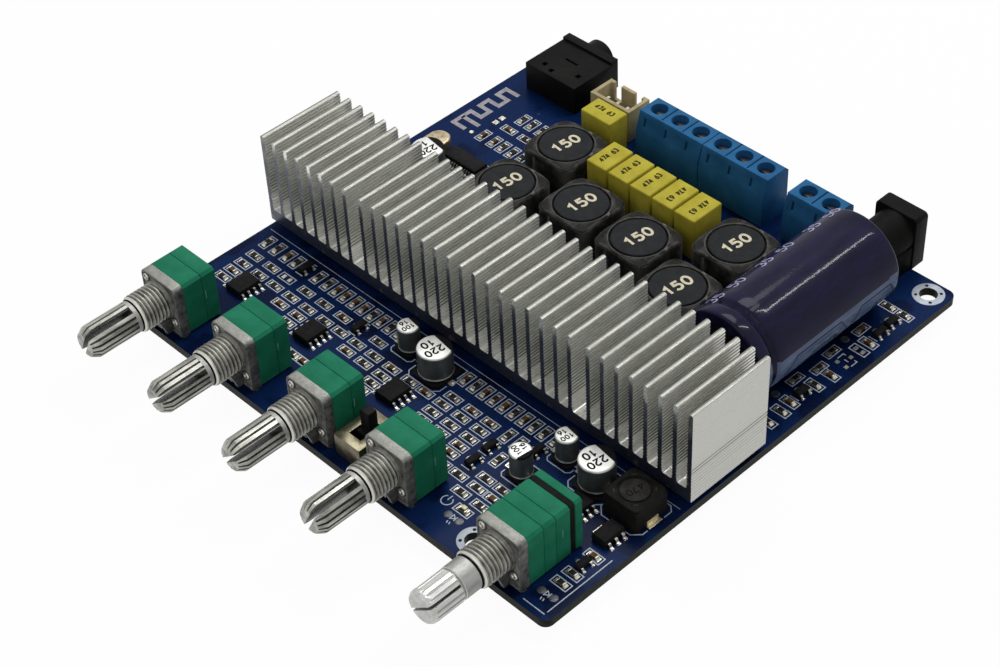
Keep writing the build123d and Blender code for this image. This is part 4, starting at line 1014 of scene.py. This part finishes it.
def plateRivets(piece, wide, centre):
    look = potLook
    rivet = look["rivet"]
    head = latheForm([(0.0, -0.2), (rivet, -0.2), (rivet, 0.0), (rivet * 0.85, 0.12), (rivet * 0.55, 0.12),
                      (rivet * 0.4, 0.02), (0.0, 0.0)], 20)
    shadow = latheForm([(rivet * 1.05, -0.2), (rivet * 1.3, -0.2), (rivet * 1.25, -0.1),
                        (rivet * 1.05, -0.14)], 20)
    for side, height in zip((-1, 1), look["rivetHeights"]):
        place = centre @ shift(side * (wide / 2 - look["rivetInset"]), height)
        piece.add(head, place, 1)
        piece.add(shadow, place, 2)


def plateWebs(piece, centre):  # webs that stiffen the plate under the bushing
    look = potLook
    web = [(-6.2, 0.0), (-6.2, 1.1), (-5.4, 1.25), (-3.0, 2.2), (-3.0, 0.0)]
    for side in (-1, 1):
        x = side * look["webApart"] / 2
        faces = [[Vector((x + s * look["web"] / 2, v, w)) for v, w in web] for s in (-1, 1)]
        piece.add(ringsForm(faces), centre)
    piece.add(blockForm(*look["stud"], 0.2), centre @ shift(0, -5.4))


def threadForm(start, stop):  # a helical wave, then the bushing's chamfer, end face and bore
    look = potLook
    pitch, deep = look["threadPitch"], look["threadDeep"]
    radius, bore = look["bushingRadius"], look["boreRadius"]
    turn = fullTurn(40)
    long = stop - look["threadFree"] - start
    rows = int(long / pitch * 8)
    rings = []
    for row in range(rows + 1):
        height = start + long * row / rows
        fade = min(1.0, (rows - row) / 3, row / 3)
        ring = []
        for angle in turn:
            wave = 0.5 + 0.5 * math.cos(2 * math.pi * height / pitch - angle)
            reach = radius - deep * fade * (1 - wave) ** 1.3 - 0.08 * (1 - fade)
            ring.append(roundPoint(reach, angle, height))
        rings.append(ring)
    for height, reach in ((stop - 0.2, radius - 0.18), (stop, radius - 0.38), (stop, bore),
                          (stop - 0.6, bore - 0.06)):
        rings.append([roundPoint(reach, angle, height) for angle in turn])
    return ringsForm(rings, closed=False)


def makePlate(i):
    look = potLook
    node = f"pot_plate_{i}"
    box = nodeBox(node)
    middle, faceY, foot = box.middle.x, box.high.y - look["plateThick"], look["plateFoot"]
    wide, tall = box.size.x, box.high.z - foot
    piece = Piece(f"die_cast_plate_{i}", "die-cast zinc", "cut thread", "painted recess shade")
    plateBody(piece, wide, tall, facingFront(middle, faceY, foot + tall / 2))
    centre = facingFront(middle, faceY, shaftHeight(i))
    piece.add(latheForm([(3.05, -0.4), (3.75, -0.4), (3.7, 0.0), (3.55, 0.25), (3.05, 0.3)], 40), centre)
    plateRivets(piece, wide, centre)
    plateWebs(piece, centre)
    piece.add(threadForm(0.1, look["bushingLong"]), centre, 1)
    dark = 40 if i == volumePot else 80
    piece.marks[-dark:] = [2] * dark  # the bore and the end face of the bushing are painted shade
    legWide, legDeep, legLong = look["leg"]
    for side in (-1, 1):
        place = shift(middle + side * (wide - legWide) / 2, faceY + look["plateThick"] / 2, -3.2)
        piece.add(blockForm(legWide, legDeep, legLong, 0.1), place)
    piece.build("board", "plate_zinc", node)


def shaftStations(isVolume, inner):  # (height, radius, share of the tooth's depth) up the shaft
    look = shaftLook
    radius, end, knurlTop, bushing = look["radius"], look["long"], look["knurlTop"], potLook["bushingLong"]
    if isVolume:
        return [(-inner, radius, 0), (bushing + 0.05, radius, 0), (bushing + 0.1, radius - 0.3, 0),
                (bushing + 0.35, radius - 0.3, 0), (bushing + 0.4, radius - 0.06, 0),
                (bushing + 0.5, radius, 0), (9.15, radius, 0), (9.25, radius - 0.1, 0),
                (9.28, radius - 0.42, 0), (9.6, radius - 0.42, 0), (9.64, radius - 0.1, 1),
                (9.75, radius, 1), (knurlTop, radius, 1), (15.1, radius - 0.03, 0.35),
                (15.4, radius - 0.06, 0.0), (end, radius - 0.4, 0)]
    return [(-inner, radius, 0), (bushing - 0.1, radius, 0), (bushing - 0.05, radius - 0.45, 0),
            (bushing + 0.22, radius - 0.45, 0), (bushing + 0.25, radius - 0.08, 0),
            (bushing + 0.32, radius, 0), (bushing + 1.0, radius, 0), (bushing + 1.05, radius - 0.04, 1),
            (bushing + 1.15, radius, 1), (knurlTop, radius, 1), (knurlTop + 0.2, radius - 0.06, 1),
            (end - 0.12, radius - 0.68, 0.5), (end, radius - 0.8, 0.4)]


def toothedRing(height, reach, depth):
    look = shaftLook
    ring = []
    for k in range(look["teeth"]):
        for share, deep in ((0.0, 0.0), (0.6, 0.0), (0.72, 1.0), (0.9, 1.0)):  # round one tooth's pitch
            ring.append(roundPoint(reach - depth * deep, 2 * math.pi * (k + share) / look["teeth"], height))
    return ring


def makeShaft(i):
    look = shaftLook
    isVolume = i == volumePot
    node = f"pot_shaft_{i}"
    box = nodeBox(node)
    end = look["long"]
    inner = box.size.y - end
    where = facingFront(box.middle.x, box.high.y - inner, box.middle.z)
    metals = ("bright aluminium", "bright groove") if isVolume else ("turned aluminium", "shaded knurl groove")
    piece = Piece(f"split_shaft_{i}", *metals, "painted recess shade", "bright groove")
    stations = shaftStations(isVolume, inner)
    deep = look["toothDeep"] * (look["volumeShare"] if isVolume else 1.0)
    rings = [toothedRing(height, reach, deep * share) for height, reach, share in stations]
    piece.add(ringsForm(rings), where)
    around = len(rings[0])
    for row, (here, after) in enumerate(zip(stations, stations[1:])):
        for k in range(around):
            if row in (1, 2):  # gap behind the bushing, in painted shade
                piece.marks[row * around + k] = 2
            elif row in (4, 5):  # collar
                piece.marks[row * around + k] = 3
            # knurl grooves, in painted shade
            elif here[2] and after[2] and k % 4 in (1, 2):
                piece.marks[row * around + k] = 1
    made = piece.build(f"shaft_{i}", "shaft_aluminium", node, sharp=30)
    slotFrom = look["volumeSlotFrom"] if isVolume else potLook["bushingLong"] + 1.05
    slot = look["volumeSlot"] if isVolume else look["slot"]
    slotFrame = where @ shift(0, 0, slotFrom, look["slotTurns"][i - 1])
    cutter = Piece("cutter")
    cutter.add(blockForm(8.0, slot, end - slotFrom + 2.0), slotFrame)
    carve(made, cutter.mesh())
    toSlot = slotFrame.inverted()
    for polygon in made.data.polygons:  # slot walls and floor, in painted shade
        spot = toSlot @ fromBoard(polygon.center)
        if abs(abs(spot.y) - slot / 2) < 0.01 or (abs(spot.z) < 0.01 and abs(spot.y) < slot / 2):
            polygon.material_index = 1


def carve(piece, mesh):  # cuts the slot and keeps the result as plain mesh
    tool = newObject("cutter", mesh)
    cut = piece.modifiers.new("slot", "BOOLEAN")
    cut.operation = "DIFFERENCE"
    cut.solver = "EXACT"
    cut.object = tool
    bpy.context.view_layer.update()
    graph = bpy.context.evaluated_depsgraph_get()
    carved = bpy.data.meshes.new_from_object(piece.evaluated_get(graph))
    piece.modifiers.clear()
    old = piece.data
    piece.data = carved
    smoothMesh(carved, 30)
    bpy.data.objects.remove(tool)
    for spare in (old, mesh):
        bpy.data.meshes.remove(spare)


def makeWafers(i):
    look = waferLook
    isVolume = i == volumePot
    node = f"pot_body_{i}"
    box = nodeBox(node)
    half, tall, corner = box.size.x / 2, box.size.z, look["corner"]
    stops = [0.0, *look["volumeSeams" if isVolume else "seams"], box.size.y]
    where = facingBack(box.middle.x, box.low.y, box.middle.z)
    piece = Piece(f"wafer_body_{i}", "green wafer", "black wafer", "tinned lead", "green scuff")
    for k, (start, stop) in enumerate(zip(stops, stops[1:])):
        isBlack = isVolume and k == 3
        inset = look["blackInset"] if isBlack else 0.0
        side, top = half - inset, tall / 2 - inset
        outline = [(side, -tall / 2), (side, tall / 2 - corner), (side - corner, top),
                   (-side + corner, top), (-side, tall / 2 - corner), (-side, -tall / 2)]
        seam = look["seamHalf"]
        piece.add(prismForm(outline, start + seam, stop - seam, 0.1, 2, bothEnds=True), where, int(isBlack))
    tick = blockForm(*look["tick"], 0.03)
    for side in (-1, 1):  # moulded tick on each flank
        piece.add(tick, where @ shift(side * half, 0.6, stops[-1] * look["tickAt"]), 3)
    hub = latheForm([(0.0, -0.1), (2.6, -0.1), (2.6, 0.0), (2.45, 0.12), (1.2, 0.12), (1.1, 0.02),
                     (0.0, 0.02)], 32)
    piece.add(hub, where @ shift(0, shaftHeight(i) - box.middle.z, stops[-1] - 0.12))
    piece.build("board", "pot_green", node)


for i in range(1, 6):
    makePlate(i)
    makeShaft(i)
    makeWafers(i)
paintNodes("tinned lead", "pot_pins")
print("stage 5: potentiometers made")


# inductors
coilLook = dict(corner=1.2, soft=18, core=4.95, gap=0.3, gapDeep=0.9, lip=0.12, number="150",
                digits=2.55, turn=84, frame=0.5, pad=(3.0, 0.9, 0.25))
boostLook = dict(corner=0.5, soft=20, lid=2.4, number="470", digits=1.35, turn=262, frame=0.75,
                 frameCuts=((-1, 1.4), (1, 0.9)), frameFree=1.9, face=0.45, recess=(0.85, 1.7, 0.03),
                 recessReach=3.2, tab=(0.3, 0.9, 0.12), tabReach=3.3, contact=(0.3, 2.6, 0.9),
                 pad=(1.0, 3.0, 0.1))


def squareReach(angle, half, corner, soft):  # from the middle to the edge of a square with cut corners
    c, s = abs(math.cos(angle)), abs(math.sin(angle))
    flat, cut = half / max(c, s), (2 * half - corner) / (c + s)
    return (flat ** -soft + cut ** -soft) ** (-1 / soft)


def shieldForm(outer, bored, *square):  # a square body that turns round at its bore; corners may droop
    turn = fullTurn(96, 0.5)
    rings = []
    for scale, height, droop in outer:
        rings.append([roundPoint(scale * squareReach(angle, *square), angle,
                                 height - droop * max(0.0, -math.cos(4 * angle)) ** 3) for angle in turn])
    for reach, height in bored:
        rings.append([roundPoint(reach, angle, height) for angle in turn])
    return ringsForm(rings, closed=False)


def makeInductors():
    look = coilLook
    piece = Piece("output_inductor_set", "worn ferrite", "core face", "cream print", "tinned lead",
                  "pale bore rim")
    number = numberForm(look["number"], look["digits"], 0.03, 0.2, 0.92)
    core, bore = look["core"], look["core"] + look["gap"]
    for box in solidBoxes("output_inductors"):
        x, y, half, top = box.middle.x, box.middle.y, box.size.x / 2, box.high.z
        where = shift(x, y)
        rim = top - look["lip"]
        floor = rim - look["gapDeep"]
        outer = [(0.97, 0.0, 0), (1.0, 0.25, 0), (1.0, rim - 0.9, 0), (0.993, rim - 0.5, 0),
                 (0.975, rim - 0.2, 0.45), (0.945, rim, 0.45), (0.9, rim + 0.02, 0.55)]
        bored = [(bore + 0.26, rim + 0.03), (bore + 0.06, rim), (bore, rim - 0.15), (bore, floor)]
        piece.add(shieldForm(outer, bored, half, look["corner"], look["soft"]), where)
        piece.marks[-3 * 96:-96] = [4] * 2 * 96  # the rim round the core is painted pale
        piece.add(latheForm([(bore + 0.05, floor), (core - 0.1, floor)], 48), where)
        piece.add(latheForm([(core, floor), (core, top - 0.3), (core - 0.08, top - 0.1),
                             (core - 0.3, top - 0.01), (core - 0.45, top - 0.03),
                             (core - 0.6, top - 0.03), (0.0, top - 0.02)], 64), where, 1)
        piece.add(number, shift(x, y, top - 0.005, look["turn"]), 2)
        for side in (-1, 1):
            piece.add(blockForm(*look["pad"], 0.05), shift(x, y + side * (half - 0.3)), 3)
        silkBox(box.middle, box.size.x / 2 + look["frame"], box.size.y / 2 + look["frame"])
    piece.build("board", "inductor_ferrite", "output_inductors")


def makeBoost():
    look = boostLook
    box = nodeBox("boost_inductor")
    x, y, half, top = box.middle.x, box.middle.y, box.size.x / 2, box.high.z
    lid, face = look["lid"], top - look["face"]
    where = shift(x, y)
    piece = Piece("boost_inductor_shield", "shield black", "painted recess shade", "black print", "gold pad",
                  "shield face")
    piece.add(prismForm(roundedOutline(2 * half, 2 * half, look["corner"], 4), 0.0, face), where)
    outer = [(1.0, face, 0), (1.0, top - 0.2, 0), (0.985, top - 0.06, 0), (0.955, top, 0)]
    bored = [(lid + 0.55, top), (lid + 0.4, top - 0.25), (lid + 0.1, top - 0.27), (lid, top - 0.08)]
    piece.add(shieldForm(outer, bored, half, look["corner"], look["soft"]), where)
    piece.add(latheForm([(lid, top - 0.08), (lid - 0.1, top - 0.04), (0.0, top - 0.04)], 48), where, 4)
    for k in range(4):
        corner = shift(x, y, 0.0, 45 + 90 * k)
        recess, tab = blockForm(*look["recess"], 0.01, 1), blockForm(*look["tab"], 0.05)
        # the corner recesses are painted shade
        piece.add(recess, corner @ shift(look["recessReach"], 0, top - 0.02), 1)
        piece.add(tab, corner @ shift(look["tabReach"], 0, top - 0.1), 4)
    number = numberForm(look["number"], look["digits"], 0.02, 0.16)
    piece.add(number, shift(x, y, top - 0.04, look["turn"]), 2)
    for side in (-1, 1):
        piece.add(blockForm(*look["contact"], 0.08), shift(x + side * (half + 0.02), y), 3)
        piece.add(blockForm(*look["pad"], 0.03), shift(x + side * (half + 0.35), y), 3)
    gap = half + look["frame"]
    for side, cut in look["frameCuts"]:
        near, bend, far = y + side * look["frameFree"], y + side * (gap - cut), y + side * gap
        silkPath((x - gap, near), (x - gap, bend), (x - gap + cut, far), (x + gap - cut, far),
                 (x + gap, bend), (x + gap, near))
    piece.build("board", "inductor_ferrite", "boost_inductor")


# film capacitors
filmLook = dict(edge=0.32, number="474 63", digits=1.35, bold=0.24, narrow=0.6, leadApart=5.0,
                leadRadius=0.28, leadTail=2.8)


def makeFilm():
    look = filmLook
    piece = Piece("film_capacitor_set", "film yellow", "dark print", "tinned lead")
    number = numberForm(look["number"], look["digits"], 0.02, look["bold"], look["narrow"])
    for k, box in enumerate(solidBoxes("film_capacitors")):
        size, x, y, top = box.size, box.middle.x, box.middle.y, box.high.z
        along = size.x > size.y
        piece.add(blockForm(size.x, size.y, top, look["edge"], 3), shift(x, y))
        piece.add(blockForm(size.x - 0.5, size.y - 0.5, 0.4, 0.05), shift(x, y))
        turn = 0 if along else 90 if k < 3 else 270
        piece.add(number, shift(x, y, top - 0.004, turn) @ shift(0, 0.3), 1)
        for side in (-1, 1):
            reach = side * look["leadApart"] / 2
            place = shift(x + reach, y) if along else shift(x, y + reach)
            piece.add(discForm(look["leadRadius"], -look["leadTail"], 0.1, 12), place, 2)
    piece.build("board", "film_yellow", "film_capacitors")


makeInductors()
makeBoost()
makeFilm()
print("stage 6: inductors and film capacitors made")


# reservoir capacitor
sleeveLook = dict(long=35.5, grooveAt=3.6, grooveHalf=1.1, grooveDeep=0.7, fold=0.7, bandFrom=-64,
                  bandTo=9, bandStart=5.0, mark="35 50  35 50  35 50", markAngle=124, markHigh=2.4,
                  markBold=0.13, outline=0.16, lozengeAngle=-22, lozenges=((6.5, 1.0), (23.5, 0.7)),
                  dashAngle=-19, dashes=((13.0, 1.0), (29.0, 1.0)), leadApart=7.5, leadDrop=5.0,
                  leadRadius=0.4, leadBend=1.2, leadEnd=-2.8, scores=3, score=(5.4, 0.25, 0.06),
                  creases=((56, 4.8), (66, 5.6), (77, 4.4), (88, 5.4), (98, 6.4)))


def sleeveForm(radius):  # rolled ends, the groove and a film that creases into it
    look = sleeveLook
    long, fold = look["long"], look["fold"]
    at, half, deep = look["grooveAt"], look["grooveHalf"], look["grooveDeep"]
    spans, free = 14, long - fold - at - half
    profile = [(radius - 2.4, 0.12), (radius - 2.3, 0.0)]
    profile += [(radius - fold + fold * math.sin(a), fold - fold * math.cos(a)) for a in quarterTurn(4)]
    profile += [(radius - deep * 0.5 * (1 - math.cos(math.pi * i / 4)), at - half + half * i / 4)
                for i in range(9)]
    profile += [(radius - 0.02, at + half + free * i / spans) for i in range(1, spans)]
    profile += [(radius - fold + fold * math.cos(a), long - fold + fold * math.sin(a))
                for a in quarterTurn(4)]
    profile += [(radius - 2.2, long), (radius - 2.4, long - 0.15)]
    points, faces = latheForm(profile, 180)
    creased = []
    for point in points:
        angle = math.degrees(math.atan2(point.y, -point.x))
        rise = sum(math.exp(-((angle - turn - (point.z - 4) * 1.6) / 1.6) ** 2
                            - ((point.z - along) / 1.3) ** 2) for turn, along in look["creases"])
        creased.append(point * (1 - 0.012 * rise) + Vector((0, 0, point.z * 0.012 * rise)))
    return creased, faces


def sleeveBand(form, radius):  # which faces lie in the pale band
    look = sleeveLook
    marks = []
    for face in form[1]:
        middle = faceMiddle(form, face)
        angle = math.degrees(math.atan2(middle.y, -middle.x))
        flare = max(0.0, look["bandStart"] - middle.z) * 2.4
        isInBand = look["bandFrom"] < angle < look["bandTo"] + flare and 0.4 < middle.z < look["long"] - 0.8
        marks.append(int(isInBand and middle.xy.length > radius - 0.4))
    return marks


def fineSteps(path, step=0.6):  # cuts long straights short so that they can follow a curve
    stops = [path[0]]
    for (x0, y0), (x1, y1) in zip(path, path[1:]):
        count = max(1, int(math.dist((x0, y0), (x1, y1)) / step))
        stops += [(x0 + (x1 - x0) * i / count, y0 + (y1 - y0) * i / count) for i in range(1, count + 1)]
    return stops


def wrapForm(form, radius, angle, start=0.0):  # bends flat print round the sleeve
    points = []
    for point in form[0]:
        turn = math.radians(angle) + point.y / radius
        reach = radius + 0.01 + point.z
        points.append(Vector((-reach * math.cos(turn), reach * math.sin(turn), start + point.x)))
    return points, form[1]


def sleevePrint(piece, radius, where):
    look = sleeveLook
    words = numberForm(look["mark"], look["markHigh"], 0.02, look["markBold"], 0.9)
    piece.add(wrapForm(words, radius, look["markAngle"], look["long"] / 2 + 1), where, 2)
    lozenge = [(0.0, 0.0), (2.4, 3.4), (13.5, 3.4), (16.0, 0.0), (13.5, -3.4), (2.4, -3.4), (0.0, 0.0),
               (2.4, 3.4)]
    dash = [(0.0, -0.55), (6.0, -0.55), (6.6, 0.55), (0.6, 0.55), (0.0, -0.55), (0.6, -0.55)]
    for outline, angle, places in ((lozenge, look["lozengeAngle"], look["lozenges"]),
                                   (dash, look["dashAngle"], look["dashes"])):
        for start, scale in places:  # each outline runs on a little past its own start
            path = fineSteps([(start + along * scale, up) for along, up in outline])
            piece.add(wrapForm(ribbonForm(path, look["outline"]), radius, angle), where, 5)


def makeReservoir():
    look = sleeveLook
    box = nodeBox("reservoir_capacitor")
    radius, long = box.size.x / 2, look["long"]
    axisX, axisZ, front = box.middle.x, box.high.z - radius, box.high.y - long
    where = facingBack(axisX, front, axisZ)
    piece = Piece("reservoir_can", "violet sleeve", "sleeve band", "sleeve mark", "can top", "tinned lead",
                  "black print")
    form = sleeveForm(radius)
    piece.add(form, where)
    piece.marks = sleeveBand(form, radius)
    end = radius - 2.3
    piece.add(latheForm([(0.0, 0.3), (end, 0.3), (end, 0.1)], 60), where, 5)
    piece.add(latheForm([(end, long - 0.1), (end, long - 0.3), (0.0, long - 0.3)], 60), where, 3)
    score = blockForm(*look["score"], 0.02, 1)
    for angle in fullTurn(look["scores"], 0.25):  # safety scores on the bare end, dark with painted shade in the cuts
        turned = shift(0, 0, long - 0.32, math.degrees(angle))
        piece.add(score, where @ turned @ shift(look["score"][0] / 2, 0), 5)
    sleevePrint(piece, radius, where)
    drop, bend = look["leadDrop"], look["leadBend"]
    for side in (-1, 1):
        x = axisX + side * look["leadApart"] / 2
        path = [Vector((x, front + 0.4, axisZ - drop))]
        path += [Vector((x, front - 0.4 - bend * math.sin(a), axisZ - drop - bend + bend * math.cos(a)))
                 for a in quarterTurn(6)]
        path.append(Vector((x, front - 0.4 - bend, look["leadEnd"])))
        piece.add(wireForm(path, look["leadRadius"]), None, 4)
    piece.build("board", "capacitor_sleeve", "reservoir_capacitor")


makeReservoir()
print("stage 7: reservoir capacitor made")


# connectors, switch and crystal keep their CAD forms with broken edges
edgeSizes = dict(terminal=0.16, screw=0.1, powerJack=0.22, audioJack=0.2, header=0.12, shell=0.1,
                 lever=0.12, crystal=0.35)
for k in range(1, 4):
    edgedCopy(f"terminal_housing_{k}", "terminal blue", edgeSizes["terminal"], "board")
for k in range(1, 9):
    edgedCopy(f"terminal_screw_{k}", "dull tin", edgeSizes["screw"], f"terminal_screw_body_{k}")
    paintNodes("zinc-plated steel", f"terminal_clamp_{k}")
edgedCopy("power_jack_housing", "moulded black", edgeSizes["powerJack"], "board")
edgedCopy("audio_jack_housing", "moulded black", edgeSizes["audioJack"], "board")
edgedCopy("header_housing", "cream nylon", edgeSizes["header"], "board")
edgedCopy("switch_shell", "nickel shell", edgeSizes["shell"], "board")
edgedCopy("switch_lever", "black lever", edgeSizes["lever"], "lever")
edgedCopy("crystal", "plated can", edgeSizes["crystal"], "board", 3)
paintNodes("tinned lead", "power_jack_contacts", "audio_jack_contacts", "header_pins", "terminal_pins",
           "switch_pins")
paintNodes("black lever", "switch_base")
print("stage 8: connectors finished")


# print, pads and small marks on the board
boardMarks = dict(
    mountHoles=((82.25, 4.2), (boardWide - 3.7, boardDeep - 3.3)), ring=(1.62, 2.85), ringDots=4,
    dotReach=2.2,
    diodePads=((75.3, 5.2), (77.7, 5.3), (96.9, 4.3), (99.4, 4.4)), diodes=((76.5, 5.25), (98.15, 4.35)),
    bareParts=((13.6, 24.2), (98.5, 78.5)), squarePads=((8.4, 81.0), (8.4, 82.7)),
    roundPads=((95, 79, 0.8, 2), (95, 60.9, 0.8, 2), (7.1, 75.8, 0.45, 0)),
    cappedHoles=((11.5, 29.0), (34.2, 24.8), (52.0, 12.4), (57.4, 27.6), (79.0, 11.6), (96.5, 12.4),
                 (12.6, 88.4), (18.2, 57.5), (22.0, 71.0), (97.0, 64.2), (96.8, 86.6)),
    bareTransistor=(98.55, 73.8), powerSign=(73.0, 7.1), cornerLines=(1.4, 1.2), lamp=(76.5, 7.6))


def mountRing(x, y):
    inner, outer = boardMarks["ring"]
    ring = [(inner, 0.0), (outer, 0.0), (outer, 0.03), (outer - 0.06, 0.05), (inner, 0.05)]
    tinned.add(latheForm(ring, 48), shift(x, y), 4)
    for angle in fullTurn(boardMarks["ringDots"], 0.5):
        spot = roundPoint(boardMarks["dotReach"], angle)
        # the dots round the mounting ring are painted shade for holes
        tinned.add(discForm(0.3, 0.03, 0.06, 12), shift(x + spot.x, y + spot.y), 1)


def diodeMark(x, y):
    silkPath((x - 0.4, y - 0.5), (x - 0.4, y + 0.5), (x + 0.35, y), closed=True)
    silkLine(x + 0.42, y - 0.5, x + 0.42, y + 0.5)
    for aside in (0.0, 0.5):
        silkLine(x + aside - 0.3, y - 1.0, x + aside - 0.1, y - 1.5)


def roundPad(x, y, radius, mark):
    pad = [(0.0, 0.0), (radius, 0.0), (radius - 0.05, 0.04), (0.0, 0.04)]
    tinned.add(latheForm(pad, 20), shift(x, y), mark)


def addPads():
    look = boardMarks
    for x, y in look["mountHoles"]:
        mountRing(x, y)
    bead = latheForm([(0.0, 0.0), (0.75, 0.0), (0.72, 0.06), (0.45, 0.14), (0.0, 0.1)], 20)
    for x, y in look["diodePads"]:
        tinned.add(bead, shift(x, y), 2)
    for x, y in look["diodes"]:
        diodeMark(x, y)
    for x, y in look["bareParts"]:
        for side in (-1, 1):
            flatPad(x + side * 0.75, y, 0.7, 0.9)
        silkBox(Vector((x, y)), printed["boxLong"] / 2, printed["boxWide"] / 2)
    for x, y in look["squarePads"]:
        flatPad(x, y, 1.1, 1.1)
    for pad in look["roundPads"]:
        roundPad(*pad)
    for x, y in look["cappedHoles"]:  # through holes under the mask
        roundPad(x, y, 0.32, 3)
    x, y = look["bareTransistor"]
    for aside, up in ((-0.95, 0.0), (0.95, 0.0), (0.0, 2.4)):
        flatPad(x + aside, y + up, 0.7, 0.8)
    for side in (-1, 1):
        silkPath((x + side * 0.9, y + 2.2), (x + side * 1.45, y + 2.2), (x + side * 1.45, y + 0.7))
    silkLine(x - 0.45, y + 1.2, x + 0.45, y + 1.2)


def addPrint():
    x, y = boardMarks["powerSign"]
    silkPath(*arcPath(x, y, 1.0, 1.0, 125, 415, 19))
    silkLine(x, y + 0.1, x, y + 1.3)
    right, near = boardMarks["cornerLines"]
    silkLine(boardWide - right, 1.8, boardWide - right, 16.0)
    silkLine(boardWide - 6.0, near, boardWide - right, near)


antennaLook = dict(near=2.3, far=5.15, wide=0.95, thick=0.03, first=75.6, feed=78.0,
                   turns=(80.2, 82.6, 84.95, 87.4, 89.75))


def makeAntenna():
    look = antennaLook
    near, far = look["near"], look["far"]
    path = [(5.6, look["first"]), (near, look["first"])]
    for k, y in enumerate(look["turns"]):
        path += [(near, y), (far, y)] if k % 2 == 0 else [(far, y), (near, y)]
    path[-1] = (5.8, look["turns"][-1])
    piece = Piece("printed_antenna", "bare copper")
    piece.add(ribbonForm(path, look["wide"], look["thick"]))
    piece.add(ribbonForm([(near, look["feed"]), (6.9, look["feed"])], look["wide"], look["thick"]))
    piece.build("board", "tinned_leads")


def makeLamp():
    x, y = boardMarks["lamp"]
    piece = Piece("indicator_lamp", "lamp lens", "solder")
    piece.add(blockForm(1.0, 0.8, 0.6, 0.15), shift(x, y, 0.1))
    for side in (-1, 1):
        piece.add(blockForm(0.5, 0.85, 0.35, 0.08), shift(x + side * 0.75, y), 1)
    piece.build("board", "chip_ceramic")


def makeSolderJoints():  # a cone of solder round each lead on the underside
    piece = Piece("solder_joints", "solder")
    under = -(boardHigh.z - boardLow.z) / mm
    profile = [(radius, under - 0.9 - z)
               for radius, z in ((0.0, 0.0), (0.22, 0.0), (0.4, -0.35), (0.62, -0.7), (0.98, -0.9))]
    for node in ("pot_pins", "header_pins", "audio_jack_contacts", "switch_pins", "terminal_pins",
                 "power_jack_contacts"):
        for box in solidBoxes(node):
            if box.low.z <= under:
                y = box.low.y + 0.55 if node == "terminal_pins" else box.middle.y
                piece.add(latheForm(profile, 18), shift(box.middle.x, y))
    piece.build("board", "tinned_leads")


addPads()
addPrint()
makeAntenna()
makeLamp()
makeSolderJoints()
silk.build("board", "board_mask")
tinned.build("board", "tinned_leads")
print("stage 9: board print and solder added")


# floor, light and camera
studioLook = dict(floor=(0.8, 0.8, 0.8), floorReach=3.0, floorGap=0.0002, floorShare=0.96,
                  worldShown=1.0, worldLight=0.3)
lampLook = dict(key_light=dict(place=(-0.25, 0.3, 0.75), size=(0.5, 0.5), power=3.7),
                fill_light=dict(place=(0.1, -0.7, 0.6), size=(0.6, 0.6), power=0.7),
                strip_light=dict(place=(0.16, 0.436, 0.686), size=(0.03, 0.4), power=1.6))
cameraLook = dict(place=(253.86, -144.18, 253.45), right=(0.69905, 0.71397, -0.03957),
                  up=(-0.46556, 0.49643, 0.73267), lens=78.47, sensor=36.0)


def seenDirectly(wiring):  # 1 for the camera and for what metal and glass show
    rays = wiring.add("LightPath").outputs
    return wiring.math("MAXIMUM", rays["Is Camera Ray"],
                       wiring.math("MAXIMUM", rays["Is Glossy Ray"], rays["Is Transmission Ray"]))


def floorFinish():
    material, wiring = newFinish("studio floor")
    wiring.tree.nodes.remove(wiring.shader)
    plain = wiring.add("BsdfDiffuse", Color=studioLook["floor"])
    white = wiring.add("Emission", Color=(1, 1, 1), Strength=1.0)
    mix = wiring.add("MixShader")
    share = wiring.math("MULTIPLY", seenDirectly(wiring), studioLook["floorShare"])
    for socket, value in zip(mix.inputs, (share, plain.outputs[0], white.outputs[0])):
        wiring.fill(socket, value)
    wiring.feed(wiring.tree.nodes["Material Output"], Surface=mix.outputs[0])
    return material


def makeFloor():
    reach, z = studioLook["floorReach"], cadLow.z - studioLook["floorGap"]
    mesh = bpy.data.meshes.new("studio_floor")
    mesh.from_pydata([(-reach, -reach, z), (reach, -reach, z), (reach, reach, z), (-reach, reach, z)], [],
                     [(0, 1, 2, 3)])
    mesh.materials.append(floorFinish())
    newObject("studio_floor", mesh)


def makeLight():
    world = bpy.data.worlds.new("studio")
    bpy.context.scene.world = world
    wiring = Wiring(world)
    look = studioLook
    strength = wiring.span(seenDirectly(wiring), 0.0, 1.0, look["worldLight"], look["worldShown"])
    wiring.feed(wiring.tree.nodes["Background"], Color=(1, 1, 1), Strength=strength)
    for name, light in lampLook.items():
        lamp = bpy.data.lights.new(name, "AREA")
        lamp.shape = "ELLIPSE"
        lamp.size, lamp.size_y = light["size"]
        lamp.energy = light["power"]
        holder = newObject(name, lamp)
        holder.location = light["place"]
        holder.rotation_mode = "QUATERNION"
        holder.rotation_quaternion = (-Vector(light["place"])).to_track_quat("-Z", "Y")
    bpy.context.scene.view_settings.view_transform = "Standard"


def makeCamera():
    look = cameraLook
    right, up = Vector(look["right"]).normalized(), Vector(look["up"]).normalized()
    lens = bpy.data.cameras.new("photo_camera")
    lens.lens = look["lens"]
    lens.sensor_width = look["sensor"]
    lens.clip_start = 0.01
    camera = newObject("photo_camera", lens)
    turn = Matrix((right, up, right.cross(up).normalized())).transposed().to_4x4()
    camera.matrix_world = Matrix.Translation(onBoard(*look["place"])) @ turn
    bpy.context.scene.camera = camera


makeFloor()
makeLight()
makeCamera()
print("stage 10: studio ready")
